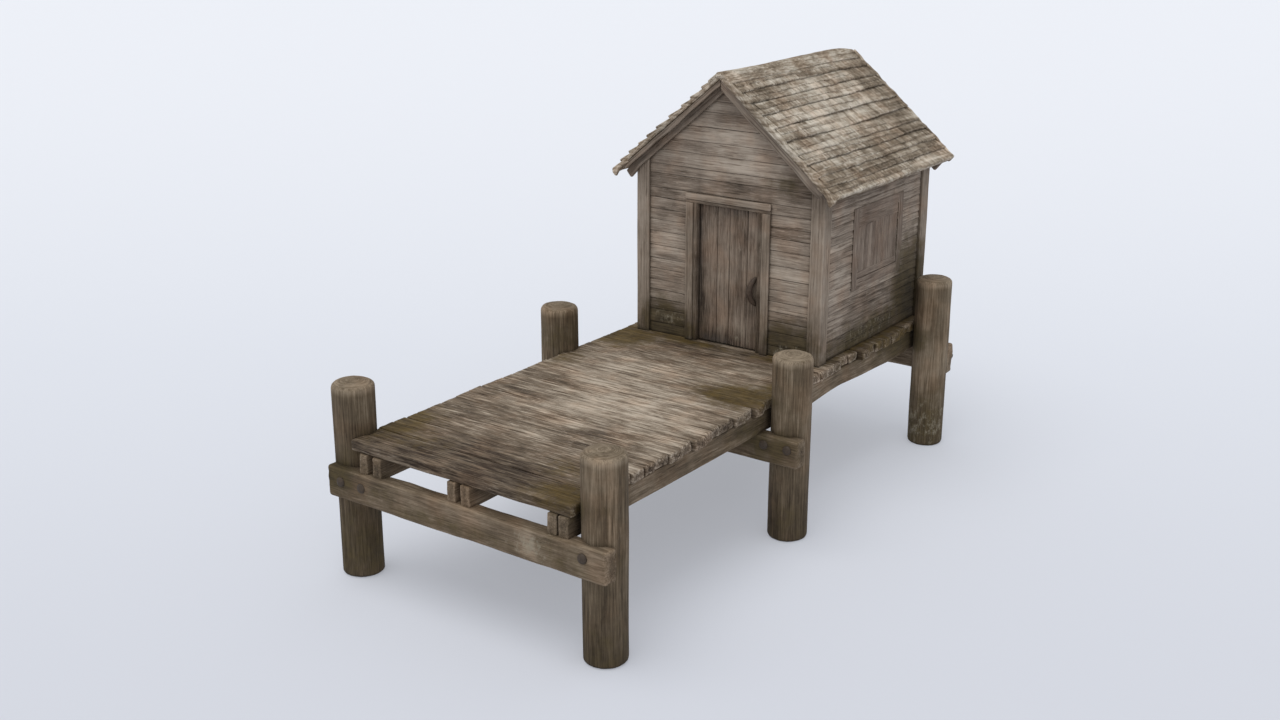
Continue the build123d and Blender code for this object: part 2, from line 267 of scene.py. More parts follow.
def iron(name, a, b_):
    m, nt, bs = nodes_of(name)
    geo = nt.nodes.new("ShaderNodeTexCoord").outputs["Object"]
    n1 = noise(nt, geo, 38, 5, 0.65)
    n2 = noise(nt, geo, 9, 3, 0.55)
    v = math_(nt, "ADD", math_(nt, "MULTIPLY", n1, 0.6), math_(nt, "MULTIPLY", n2, 0.5), clamp=True)
    link(nt, ramp(nt, v, [(0.25, a), (0.85, b_)]), bs.inputs["Base Color"])
    link(nt, remap(nt, n2, 0.3, 0.7, 0.55, 0.8), bs.inputs["Roughness"])
    bs.inputs["Metallic"].default_value = 0.12
    bs.inputs["Specular IOR Level"].default_value = 0.35
    bp = nt.nodes.new("ShaderNodeBump")
    bp.inputs["Strength"].default_value = 0.4
    bp.inputs["Distance"].default_value = 0.003
    link(nt, n1, bp.inputs["Height"])
    link(nt, bp.outputs[0], bs.inputs["Normal"])
    return m


M = {
    "logs": wood("pile_logs", lin(50, 41, 30), lin(101, 88, 71), lin(154, 139, 119), along=0.75, streak=1.05, crack=0.7, fleck=0.6, bump=1.2),
    "framing": wood("framing", lin(52, 43, 32), lin(106, 92, 75), lin(158, 142, 122), streak=0.95),
    "deck": wood("deck_planks", lin(54, 43, 33), lin(118, 104, 88), lin(194, 181, 164), streak=1.5, across=0.85, crack=1.45, fleck=1.35, ao=0.8, moss_col=(72, 58, 27)),
    "trim": wood("trim_boards", lin(70, 59, 49), lin(134, 121, 107), lin(174, 161, 147), streak=0.75, ao=0.9),
    "walls": wood("wall_boards", lin(60, 50, 41), lin(132, 119, 106), lin(186, 173, 158), streak=1.0, crack=1.2),
    "shutter": wood("shutter_boards", lin(62, 52, 44), lin(118, 104, 92), lin(160, 146, 132), streak=0.95, crack=1.2, ao=0.35),
    "shingle": wood("shingles", lin(70, 58, 44), lin(136, 123, 106), lin(208, 199, 184), along=3.6, across=0.85, streak=1.05, crack=1.0, fleck=1.0, ao_d=0.045, ao=0.42, bands=1.55),
    "roof_timber": wood("roof_timber", lin(66, 57, 49), lin(128, 116, 104), lin(166, 154, 140), streak=0.8),
    "door": wood("door_boards", lin(52, 43, 35), lin(126, 112, 99), lin(168, 154, 139), streak=1.05, crack=1.2),
    "iron": iron("dark_iron", lin(40, 33, 27), lin(88, 75, 63)),
    "pull": iron("pull_iron", lin(38, 30, 25), lin(100, 84, 71)),
    "lining": wood("lining_boards", lin(48, 40, 32), lin(88, 77, 66), lin(128, 115, 101), streak=0.8),
}


# ------------------------------------------------------------------ mesh helpers
def vn(p, seed=0):
    """Smooth value noise, -1 to 1."""
    p = np.asarray(p, float)
    i = np.floor(p).astype(np.int64)
    f = p - i
    f = f * f * (3 - 2 * f)

    def h(dx, dy, dz):
        n = ((i[..., 0] + dx) * 374761393 + (i[..., 1] + dy) * 668265263 + (i[..., 2] + dz) * 1103515245 + seed * 974634777) & 0xFFFFFFFF
        n = ((n ^ (n >> 13)) * 1274126177) & 0xFFFFFFFF
        return ((n ^ (n >> 16)) & 0xFFFF) / 32767.5 - 1.0

    x0 = h(0, 0, 0) * (1 - f[..., 0]) + h(1, 0, 0) * f[..., 0]
    x1 = h(0, 1, 0) * (1 - f[..., 0]) + h(1, 1, 0) * f[..., 0]
    x2 = h(0, 0, 1) * (1 - f[..., 0]) + h(1, 0, 1) * f[..., 0]
    x3 = h(0, 1, 1) * (1 - f[..., 0]) + h(1, 1, 1) * f[..., 0]
    y0 = x0 * (1 - f[..., 1]) + x1 * f[..., 1]
    y1 = x2 * (1 - f[..., 1]) + x3 * f[..., 1]
    return y0 * (1 - f[..., 2]) + y1 * f[..., 2]


# soft stains and painted shade: kind, centre, radii, strength
STAIN_AND_SHADE_BLOBS = [
    # deep brown, where wood stays wet or is worn dark; at the top of the right wall under the eave and down the door's
    # left side it is painted shade
    (4, (0.0, 0.10, 1.69), (1.9, 0.70, 0.2), 0.72), (4, (-1.2, 1.2, 1.69), (0.45, 1.3, 0.1), 0.30), (4, (0.0, 4.55, 1.69), (1.7, 0.35, 0.1), 0.45), (4, (1.2, 3.3, 1.69), (0.6, 0.5, 0.1), 0.35),
    (4, (-1.7, 0, 0.2), (0.4, 0.4, 0.8), 0.75), (4, (1.7, 0, 0.0), (0.4, 0.4, 0.8), 1.15), (4, (-1.7, 3.565, 0.2), (0.4, 0.4, 0.8), 0.5), (4, (1.7, 3.565, 0.0), (0.4, 0.4, 0.75), 0.95),
    (4, (1.7, 7.275, 0.0), (0.4, 0.4, 0.6), 0.85), (4, (-1.7, 7.275, 0.0), (0.4, 0.4, 0.5), 0.45), (4, (-1.7, 0, 1.0), (0.4, 0.4, 0.9), 0.60), (4, (-1.75, -0.3, 1.15), (0.5, 0.2, 0.35), 0.3),
    (4, (0, 4.81, 1.75), (1.3, 0.1, 0.32), 0.55), (4, (1.35, 6.4, 1.9), (0.14, 1.5, 0.4), 0.60), (4, (1.35, 7.2, 2.3), (0.14, 0.6, 0.7), 0.12), (4, (1.51, 1.8, 1.66), (0.10, 2.2, 0.12), 0.55), (4, (1.51, 6.2, 1.66), (0.10, 1.7, 0.12), 0.45), (2, (1.7, 7.275, 1.5), (0.4, 0.4, 0.8), 0.55), (2, (1.35, 7.1, 3.0), (0.14, 0.5, 0.5), 0.35), (4, (-1.35, 6.4, 1.9), (0.14, 1.5, 0.4), 0.60),
    # (1.3, 6.2, 3.85) darkens the top of the right wall under the eave and (-0.38, 4.86, 2.4) the door's left side
    # beside its lining: painted shade
    (4, (0, 7.6, 1.9), (1.4, 0.14, 0.4), 0.60), (4, (1.3, 6.2, 3.85), (0.2, 1.6, 0.22), 0.35), (4, (0.15, 4.86, 2.25), (0.28, 0.1, 0.25), 0.35), (4, (-0.38, 4.86, 2.4), (0.10, 0.1, 0.9), 0.45),
    (4, (1.5, 5.1, 4.0), (0.5, 0.7, 0.35), 0.25), (4, (0.4, 4.75, 4.85), (0.45, 0.5, 0.3), 0.25), (4, (0.9, 7.5, 4.45), (0.7, 0.6, 0.6), 0.35), (4, (1.25, 6.7, 4.15), (0.4, 1.2, 0.25), 0.25),
    (4, (0.0, 4.81, 4.62), (0.30, 0.1, 0.06), 0.55), (4, (0.15, 4.81, 3.78), (0.35, 0.1, 0.07), 0.5), (4, (-0.9, 4.81, 2.735), (0.26, 0.1, 0.03), 0.9), (4, (1.0, 4.81, 3.95), (0.25, 0.1, 0.2), 0.4),
    (2, (-0.87, 4.81, 2.985), (0.24, 0.1, 0.045), 1.1), (2, (-0.9, 4.81, 2.665), (0.26, 0.1, 0.03), 1.0), (2, (0.05, 4.86, 1.98), (0.33, 0.1, 0.18), 0.7), (2, (1.0, -0.32, 1.17), (0.20, 0.1, 0.13), 0.9),
    (3, (1.0, -0.32, 1.17), (0.26, 0.1, 0.16), 1.3), (2, (1.0, -0.32, 1.19), (0.16, 0.1, 0.10), 1.2), (0, (1.5, 6.4, 1.66), (0.25, 1.2, 0.14), 0.6),
    # moss and damp, olive
    (0, (-1.45, 0.45, 1.69), (0.42, 0.55, 0.12), 0.95), (0, (-1.1, 0.2, 1.69), (0.7, 0.35, 0.10), 0.45), (0, (1.30, -0.05, 1.66), (0.55, 0.34, 0.16), 0.85),
    (0, (1.15, 3.35, 1.69), (0.62, 0.40, 0.10), 1.0), (0, (1.40, 3.75, 1.66), (0.35, 0.45, 0.14), 0.8), (0, (-1.4, 3.3, 1.69), (0.30, 0.6, 0.10), 0.5),
    (0, (-1.30, 4.45, 1.69), (0.50, 0.55, 0.10), 1.0), (0, (-0.5, 4.70, 1.69), (0.7, 0.18, 0.10), 0.75), (0, (0.9, 4.70, 1.69), (0.6, 0.16, 0.10), 0.7), (0, (0.9, 0.5, 1.69), (0.45, 0.4, 0.08), 0.45),
    (0, (-0.93, 4.81, 1.80), (0.50, 0.12, 0.38), 1.15), (0, (0.93, 4.81, 1.82), (0.48, 0.12, 0.40), 1.1), (0, (0.85, 4.81, 3.86), (0.40, 0.12, 0.16), 0.55),
    (0, (1.35, 6.2, 1.78), (0.14, 1.6, 0.30), 0.85), (0, (1.35, 7.25, 2.15), (0.14, 0.55, 0.75), 1.15), (0, (1.35, 5.1, 1.72), (0.14, 0.5, 0.2), 0.6),
    (0, (-1.35, 6.2, 1.78), (0.14, 1.6, 0.30), 0.8), (0, (-1.35, 7.25, 2.15), (0.14, 0.55, 0.75), 1.0), (0, (0, 7.6, 1.80), (1.5, 0.14, 0.34), 1.0),
    (0, (-1.45, 4.9, 1.95), (0.16, 0.3, 0.5), 0.7), (0, (1.28, 4.8, 1.75), (0.16, 0.2, 0.3), 0.55), (0, (1.5, 6.9, 1.5), (0.3, 1.0, 0.25), 0.9), (0, (1.5, 5.6, 1.6), (0.2, 1.0, 0.14), 0.45),
    (0, (1.45, 3.1, 1.45), (0.3, 0.8, 0.22), 0.55), (0, (-1.45, 3.1, 1.45), (0.3, 0.8, 0.22), 0.55),
    (0, (-1.75, -0.3, 1.25), (0.45, 0.2, 0.3), 0.85), (0, (-0.2, -0.3, 1.08), (1.3, 0.15, 0.14), 0.55), (0, (1.4, -0.3, 1.15), (0.5, 0.2, 0.3), 0.45), (0, (-1.0, -0.3, 1.2), (0.4, 0.2, 0.2), 0.4),
    (0, (1.55, 3.2, 1.2), (0.6, 0.3, 0.3), 0.75), (0, (-1.55, 3.2, 1.2), (0.6, 0.3, 0.3), 0.75), (0, (0, 7.6, 1.2), (2.1, 0.2, 0.3), 0.6),
    (0, (-1.7, 0, 0.35), (0.4, 0.4, 0.75), 0.80), (0, (-1.7, 0, 1.3), (0.4, 0.4, 0.5), 0.55), (0, (1.7, 0, 0.15), (0.4, 0.4, 0.50), 0.60), (0, (1.7, 0, 1.15), (0.4, 0.3, 0.3), 0.4),
    (0, (-1.7, 3.565, 0.4), (0.4, 0.4, 0.8), 0.75), (0, (-1.7, 3.565, 1.85), (0.4, 0.4, 0.30), 0.6), (0, (1.7, 3.565, 0.1), (0.4, 0.4, 0.55), 0.6), (0, (1.7, 3.565, 1.5), (0.4, 0.4, 0.3), 0.4),
    (0, (1.7, 7.275, 0.2), (0.4, 0.4, 0.75), 0.80), (0, (-1.7, 7.275, 0.2), (0.4, 0.4, 0.75), 0.8),
    # dark, sooty; the bands at the tops of the side walls under the eaves, the strip on the door under its head and
    # the line down the door's left edge are painted shade
    (1, (0.48, 1.54, 1.69), (0.42, 0.30, 0.1), 0.62), (1, (0.9, 0.95, 1.69), (0.5, 0.35, 0.1), 0.35), (1, (0.2, -0.1, 1.69), (1.5, 0.5, 0.1), 0.30), (1, (-0.9, 0.9, 1.69), (0.5, 0.8, 0.1), 0.25),
    # (-0.42, 4.86, 3.0) darkens the door's left edge beside its lining and (0.1, 4.86, 3.45) the top of the door under
    # its head: painted shade
    (1, (0, 4.6, 1.69), (1.4, 0.4, 0.1), 0.40), (1, (-0.42, 4.86, 3.0), (0.06, 0.1, 1.6), 0.7), (1, (-0.25, 4.86, 1.72), (0.5, 0.1, 0.16), 0.7), (1, (0.1, 4.86, 3.45), (0.6, 0.1, 0.14), 0.6),
    (1, (0.2, 4.86, 3.2), (0.20, 0.1, 0.35), 0.4), (1, (0.25, 4.81, 3.75), (0.30, 0.1, 0.09), 0.6), (1, (0.0, 4.81, 4.55), (0.35, 0.1, 0.12), 0.5), (1, (1.15, 4.8, 3.95), (0.3, 0.1, 0.3), 0.4),
    # (1.35, 6.2, 3.82) and (-1.35, 6.2, 3.82) darken the tops of the side walls under the eaves: painted shade
    (1, (1.35, 6.2, 3.82), (0.14, 1.6, 0.22), 0.65), (1, (-1.35, 6.2, 3.82), (0.14, 1.6, 0.22), 0.65), (1, (1.3, 7.4, 4.1), (0.5, 0.5, 0.4), 0.3), (1, (0.5, 7.6, 4.9), (0.5, 0.5, 0.4), 0.35),
    # sun-bleached
    (2, (0.0, 4.81, 4.35), (0.95, 0.1, 0.55), 0.85), (2, (0.7, 4.81, 3.2), (0.3, 0.1, 0.4), 0.25),
    (2, (0.25, 2.35, 1.69), (0.95, 0.85, 0.1), 0.75), (2, (-0.2, 3.4, 1.69), (0.9, 0.8, 0.1), 0.40), (2, (1.2, 1.9, 1.69), (0.4, 0.7, 0.1), 0.55),
    (2, (0.75, 5.9, 4.6), (0.55, 0.65, 0.5), 0.85), (2, (0.65, 6.6, 4.7), (0.35, 0.5, 0.4), 0.6), (2, (1.1, 5.3, 4.3), (0.4, 0.5, 0.3), 0.5), (2, (-0.75, 5.9, 4.6), (0.55, 0.65, 0.5), 0.7),
    (2, (-0.95, 4.81, 2.87), (0.26, 0.1, 0.20), 0.75), (2, (0.95, 4.81, 2.7), (0.3, 0.1, 0.35), 0.35), (2, (0, 4.81, 3.75), (0.6, 0.1, 0.12), 0.3), (2, (-1.3, 4.8, 3.0), (0.12, 0.1, 1.1), 0.35),
    (2, (1.35, 5.2, 2.7), (0.1, 0.35, 0.8), 0.45), (2, (1.28, 4.78, 2.9), (0.12, 0.1, 0.5), 0.4), (2, (0.05, 4.86, 2.7), (0.3, 0.1, 0.4), 0.35), (2, (-0.54, 4.8, 3.55), (0.2, 0.1, 0.1), 0.5),
    # lichen
    (3, (-0.88, 4.81, 1.93), (0.24, 0.1, 0.13), 0.95), (3, (0.90, 4.81, 1.78), (0.30, 0.1, 0.11), 1.0), (3, (-0.5, 4.81, 1.92), (0.1, 0.1, 0.12), 0.5), (3, (0.12, 4.86, 1.90), (0.36, 0.1, 0.20), 0.75),
    (3, (1.35, 6.2, 1.84), (0.1, 0.85, 0.16), 0.85), (3, (-1.35, 6.2, 1.84), (0.1, 0.85, 0.16), 0.8), (3, (1.7, 7.275, 0.34), (0.4, 0.4, 0.36), 1.3), (3, (-1.7, 7.275, 0.28), (0.3, 0.3, 0.24), 0.9),
    (3, (0.75, -0.32, 1.20), (0.35, 0.1, 0.12), 0.55), (3, (0.6, 5.9, 4.75), (0.5, 0.7, 0.5), 0.45), (3, (0.5, 6.5, 4.8), (0.3, 0.5, 0.3), 0.4),
]


def stain_and_shade_masks(p):
    out = np.zeros((len(p), 5))
    for kind, c, r, s in STAIN_AND_SHADE_BLOBS:
        d = ((p - np.array(c)) / np.array(r))
        q = (d * d).sum(1)
        out[:, kind] = np.maximum(out[:, kind], s * np.exp(-q * 1.1))
    return out


ALL = []


class Piece:
    def __init__(self, name):
        self.name = name
        self.v, self.q, self.t3, self.g, self.ti, self.ed, self.se = [], [], [], [], [], [], []
        self.n = 0

    def add(self, v, quads, tris, g, tint, edge, seam_shade=0.0):
        v = np.asarray(v, float)
        self.v.append(v)
        if len(quads):
            self.q.append(np.asarray(quads) + self.n)
        if len(tris):
            self.t3.append(np.asarray(tris) + self.n)
        self.g.append(g)
        self.ti.append(np.broadcast_to(tint, len(v)).astype(float))
        self.ed.append(np.broadcast_to(edge, len(v)).astype(float))
        self.se.append(np.broadcast_to(seam_shade, len(v)).astype(float))
        self.n += len(v)

    def done(self, mat, replaces=(), body="dock", mats=None):
        v = np.concatenate(self.v)
        g = np.concatenate(self.g)
        st = stain_and_shade_masks(v)
        v = v - np.array([0, Y0, 0])
        faces = []
        for a in self.q:
            faces += a.tolist()
        for a in self.t3:
            faces += a.tolist()
        me = bpy.data.meshes.new(self.name)
        me.from_pydata(v.tolist(), [], faces)
        me.update()
        me.polygons.foreach_set("use_smooth", np.ones(len(me.polygons), bool))
        for nm, kind, data in (("gc", "FLOAT_VECTOR", g), ("st", "FLOAT_COLOR", st[:, :4]), ("deep", "FLOAT", st[:, 4]), ("tint", "FLOAT", np.concatenate(self.ti)), ("edge", "FLOAT", np.concatenate(self.ed)), ("seam_shade", "FLOAT", np.concatenate(self.se))):
            at = me.attributes.new(nm, kind, "POINT")
            at.data.foreach_set("color" if kind == "FLOAT_COLOR" else "vector" if kind == "FLOAT_VECTOR" else "value", np.asarray(data, np.float32).ravel())
        me.materials.append(M[mat])
        o = bpy.data.objects.new(self.name, me)
        S.collection.objects.link(o)
        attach(o, body)
        if replaces:
            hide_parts(*replaces)
        ALL.append((self.name, sum(len(a) * 2 for a in self.q) + sum(len(a) for a in self.t3)))
        return o


def ring_of(hu, hv, r, seg, segv=None, k=3):
    """A rounded rectangle as points, normals and how sharp each is."""
    segv = segv or seg
    pts, nrm, ed = [], [], []
    r = min(r, hu * 0.98, hv * 0.98)
    for cx, cy, a0 in ((hu - r, hv - r, 0), (-hu + r, hv - r, 90), (-hu + r, -hv + r, 180), (hu - r, -hv + r, 270)):
        for j in range(k + 1):
            t = math.radians(a0 + 90 * j / k)
            pts.append((cx + r * math.cos(t), cy + r * math.sin(t)))
            nrm.append((math.cos(t), math.sin(t)))
            ed.append(1.0 if 0 < j < k else 0.6)
        # the straight side that follows this corner
        if a0 in (0, 180):
            L, n = 2 * (hu - r), max(1, int(round(2 * (hu - r) / seg)))
        else:
            L, n = 2 * (hv - r), max(1, int(round(2 * (hv - r) / segv)))
        d = {0: (-1, 0), 90: (0, -1), 180: (1, 0), 270: (0, 1)}[a0]
        nn = {0: (0, 1), 90: (-1, 0), 180: (0, -1), 270: (1, 0)}[a0]
        p0 = pts[-1]
        for j in range(1, n):
            pts.append((p0[0] + d[0] * L * j / n, p0[1] + d[1] * L * j / n))
            nrm.append(nn)
            ed.append(0.0)
    return np.array(pts), np.array(nrm), np.array(ed)


X, Y, Z = np.eye(3)


def timber(P, A, U, V, a, u, v, O=(0, 0, 0), r=0.010, seg=0.03, segv=None, st=0.07, amp=0.002, gr=0.0012, er=0.012, tint=0.0, warp=0.0, grooves=(), shift=None, end=(0.0, 0.0), endf=14.0, after=None, pol=1.0, wave=0.35, seam_shade=(0, 0, 0, 0), seam_w=0.009, cn=3, cap=True):
    """One board, beam or shingle: a box along A with rounded edges, worn faces and ends."""
    O = np.asarray(O, float)
    off = rng.uniform(-40, 40, 3)
    (a0, a1), (u0, u1), (v0, v1) = a, u, v
    hu, hv = (u1 - u0) / 2, (v1 - v0) / 2
    cu, cv = (u1 + u0) / 2, (v1 + v0) / 2
    pts, nrm, ed = ring_of(hu, hv, r, seg, segv, cn)
    er = min(er, hu * 0.9, hv * 0.9)
    L = a1 - a0
    k = np.array([0.0, 0.12, 0.35, 0.68, 1.0]) if cn > 2 else np.array([0.0, 0.30, 1.0])
    sh = er * (1 - np.sqrt(np.clip(1 - (1 - k) ** 2, 0, 1)))
    n = max(2, int(round((L - 2 * er) / st)))
    inner = np.linspace(a0 + er, a1 - er, n + 1)[1:-1]
    sa = np.concatenate([a0 + k * er, inner, a1 - k[::-1] * er])
    sk = np.concatenate([sh, np.zeros(len(inner)), sh[::-1]])
    R = len(pts)
    AA = np.repeat(sa[:, None], R, 1)
    PU = pts[None, :, 0] * (1 - sk[:, None] / hu)
    PV = pts[None, :, 1] * (1 - sk[:, None] / hv)
    q = np.stack([AA / wave, PU / 0.16, PV / 0.16], -1) + off
    d = amp * vn(q) + amp * 0.5 * vn(q * 2.3 + 7)
    if gr:
        d = d + gr * vn(np.stack([AA / 0.45, PU / 0.021, PV / 0.021], -1) + off)
    gs = np.zeros_like(AA)
    for side, pos, w, dep in grooves:         # side: 'u+', 'u-', 'v+', 'v-'; pos across that face
        c, s = side
        face = (nrm[:, 0] if c == "u" else nrm[:, 1]) * (1 if s == "+" else -1)
        across = PV + cv if c == "u" else PU + cu
        wob = 0.004 * vn(np.stack([AA / 0.5, AA * 0 + pos * 31, AA * 0], -1) + off)
        cut = np.exp(-(((across - pos - wob) / w) ** 2)) * np.clip(face, 0, 1)[None, :] * (0.72 + 0.40 * vn(np.stack([AA / 0.3, AA * 0 + pos * 11, AA * 0 + 3], -1) + off))
        d = d - dep * cut
        gs = np.maximum(gs, cut * min(1.0, dep / 0.010))
    inn = np.clip(1 - sk / max(er, 1e-6), 0, 1)[:, None]
    u_ = cu + PU + nrm[None, :, 0] * d * inn
    v_ = cv + PV + nrm[None, :, 1] * d * inn
    if warp:
        u_ = u_ + warp * vn(np.stack([AA / 1.1, AA * 0 + 5, AA * 0], -1) + off)
        v_ = v_ + warp * vn(np.stack([AA / 1.3, AA * 0 + 9, AA * 0], -1) + off)
    a_ = AA.copy()
    for i, e in enumerate(end):
        if e:
            near = np.clip(1 - (AA - a0) / 0.12, 0, 1) if i == 0 else np.clip(1 - (a1 - AA) / 0.12, 0, 1)
            a_ = a_ + e * near * vn(np.stack([PU * endf, PV * endf, AA * 0 + i], -1) + off)
    if shift is not None:
        da, du, dv = shift(a_, u_, v_)
        a_, u_, v_ = a_ + da, u_ + du, v_ + dv
    W = O + a_[..., None] * A + u_[..., None] * U + v_[..., None] * V
    if after is not None:
        W = after(W)
    ns = len(sa)
    idx = np.arange(ns * R).reshape(ns, R)
    quads = np.stack([idx[:-1], np.roll(idx[:-1], -1, 1), np.roll(idx[1:], -1, 1), idx[1:]], -1).reshape(-1, 4)
    flip = np.dot(np.cross(A, U), V) > 0
    W = W.reshape(-1, 3)
    c0, c1 = W[idx[0]].mean(0), W[idx[-1]].mean(0)
    m0, m1 = 0.5 * (W[idx[0]] + c0), 0.5 * (W[idx[-1]] + c1)
    b0, b1 = ns * R, ns * R + R
    rl = lambda z: np.roll(z, -1)
    if cap:
        i0, i1 = np.arange(b0, b0 + R), np.arange(b1, b1 + R)
        e0, e1 = b1 + R, b1 + R + 1
        quads = np.concatenate([quads, np.stack([i0, rl(i0), rl(idx[0]), idx[0]], -1), np.stack([idx[-1], rl(idx[-1]), rl(i1), i1], -1)])
    else:
        i0, i1 = idx[0], idx[-1]
        e0, e1 = b0, b0 + 1
    tris = np.concatenate([np.stack([np.full(R, e0), rl(i0), i0], -1), np.stack([np.full(R, e1), i1, rl(i1)], -1)])
    if flip:
        pass
    else:
        quads, tris = quads[:, ::-1], tris[:, ::-1]
    W = np.concatenate([W, m0, m1, c0[None], c1[None]] if cap else [W, c0[None], c1[None]])
    gu, gv = (cu + PU).ravel(), (cv + PV).ravel()
    ga = a_.ravel()
    g = np.stack([ga, gu, gv], -1)
    gm = [0.5 * (g[idx[0]] + g[idx[0]].mean(0)), 0.5 * (g[idx[-1]] + g[idx[-1]].mean(0))] if cap else []
    g = np.concatenate([g] + gm + [g[idx[0]].mean(0)[None], g[idx[-1]].mean(0)[None]]) * pol + off
    more = 2 * R + 2 if cap else 2
    # edge values, which lighten the colour: partly worn edges, partly painted highlight
    edg = np.repeat(ed[None, :], ns, 0) * (0.55 + 0.45 * vn(q * 1.7 + 3)) + np.where(sk > 0, 0.5, 0)[:, None]
    edg = np.concatenate([np.clip(edg, 0, 1).ravel(), np.zeros(more) - 0.6])
    # grooves and the chosen board edges are marked here for painted shade in their gaps
    sm = np.clip(gs, 0, 1)
    dists = ((PU + hu), (hu - PU), (PV + hv), (hv - PV))     # from the low and high side of u, then of v
    for k_, (dd, s_) in enumerate(zip(dists, seam_shade)):
        if s_:
            run = 0.62 + 0.55 * vn(np.stack([AA / 0.42, AA * 0 + 3.3 * k_, AA * 0 + 1], -1) + off)
            sm = np.maximum(sm, s_ * np.clip(1 - dd / (seam_w * (0.8 + 0.5 * run)), 0, 1) * np.clip(run, 0.15, 1))
    sm = np.concatenate([np.clip(sm, 0, 1).ravel(), np.zeros(more)])
    P.add(W, quads, tris, g, tint, edg, sm)


def log(P, x, y, h, R=0.233, seed=0, top=0.062, foot=0.044):
    """One pile: a lathe with a worn domed top, long checks and a slightly uneven round."""
    n = 72
    off = rng.uniform(-40, 40, 3)
    prof = [(0.0, 0.0)]
    for t in (0.30, 0.6, 0.9):
        prof.append((t * (R - foot), 0.0))
    for j in range(1, 6):
        t = math.radians(90 * j / 5)
        prof.append((R - foot + foot * math.sin(t), foot * (1 - math.cos(t))))
    zz = np.linspace(foot, h - top - 0.018, 44)[1:]
    prof += [(R, z) for z in zz]
    for j in range(1, 8):
        t = math.radians(90 * j / 7)
        prof.append((R - top + top * math.cos(t), h - top - 0.018 + top * math.sin(t)))
    for t in (0.94, 0.86, 0.78, 0.70, 0.60, 0.50, 0.40, 0.30, 0.20, 0.10, 0.0):
        rr = t * (R - top)
        prof.append((rr, h - 0.018 + 0.018 * (1 - (rr / (R - top)) ** 2)))
    prof = np.array(prof)
    ang = np.linspace(0, 2 * math.pi, n, endpoint=False)
    rr, zz = np.meshgrid(prof[:, 0], ang, indexing="ij")[0], np.repeat(prof[:, 1][:, None], n, 1)
    ca, sa = np.cos(ang)[None, :], np.sin(ang)[None, :]
    q = np.stack([zz / 1.4, ca * 0.9 + 0 * zz, sa * 0.9 + 0 * zz], -1) + off
    d = 0.0055 * vn(q) + 0.0035 * vn(np.stack([zz / 0.5, ca * 2.2 + 0 * zz, sa * 2.2 + 0 * zz], -1) + off)
    d = d + 0.0028 * vn(np.stack([zz / 0.7, ca * 9 + 0 * zz, sa * 9 + 0 * zz], -1) + off)
    ck = vn(np.stack([zz / 1.0, ca * 5 + 0 * zz, sa * 5 + 0 * zz], -1) + off + 9)
    d = d - 0.006 * np.clip((ck - 0.45) / 0.4, 0, 1)
    f = np.clip(rr / R, 0, 1)
    ring = np.where((zz > h - top - 0.02) & (rr < R - 0.02), 0.0012 * np.sin(rr * 2 * math.pi / 0.052 + 2.0 * vn(np.stack([ca * 1.5 + 0 * zz, sa * 1.5 + 0 * zz, 0 * zz], -1) + off)), 0)
    zt = zz + ring + np.where(zz > 0.3, 0.004 * vn(np.stack([rr * ca / 0.12, rr * sa / 0.12, 0 * zz], -1) + off), 0)
    Wr = rr + d * f
    W = np.stack([x + Wr * ca, y + Wr * sa, zt], -1)
    ns = len(prof)
    idx = np.arange(ns * n).reshape(ns, n)
    inner = idx[1:-1]
    quads = np.stack([inner[:-1], np.roll(inner[:-1], -1, 1), np.roll(inner[1:], -1, 1), inner[1:]], -1).reshape(-1, 4)
    V_ = W.reshape(-1, 3)
    keep = np.concatenate([inner.ravel(), [idx[0, 0], idx[-1, 0]]])
    new = -np.ones(ns * n, int)
    new[keep] = np.arange(len(keep))
    c0, c1 = new[idx[0, 0]], new[idx[-1, 0]]
    quads = new[quads]
    tris = np.concatenate([np.stack([np.full(n, c0), np.roll(new[idx[1]], -1), new[idx[1]]], -1), np.stack([np.full(n, c1), new[idx[-2]], np.roll(new[idx[-2]], -1)], -1)])
    g = np.stack([zz, rr * ca, rr * sa], -1)
    topf = (zz > h - top) & (rr < R - 0.035)
    # on the sawn top the grain shows as rings
    g2 = np.stack([rr * 0 + 3.0, rr * 1.7, rr * 0.35 + 0.05 * ca], -1)
    g = np.where(topf[..., None], g2, g).reshape(-1, 3)[keep] + off
    # The domed top is tinted lighter: painted light from above. Its rim is lighter still, partly worn and partly
    # painted highlight; the rings on the sawn top are grain.
    edge = np.where((zz > h - top - 0.05), 0.9, 0.0) * np.where(topf, 0.55, 1.0)
    tint = np.where(zz > h - top - 0.03, 0.10, 0.0) + np.where(topf, 0.045 * np.sin(rr * 2 * math.pi / 0.052 + 2.0 * vn(np.stack([ca * 1.5 + 0 * zz, sa * 1.5 + 0 * zz, 0 * zz], -1) + off)), 0) - 0.12 * np.clip(ck - 0.3, 0, 1) + 0.05 * vn(q * 0.7)
    P.add(V_[keep], quads, tris, g, tint.ravel()[keep], edge.ravel()[keep])


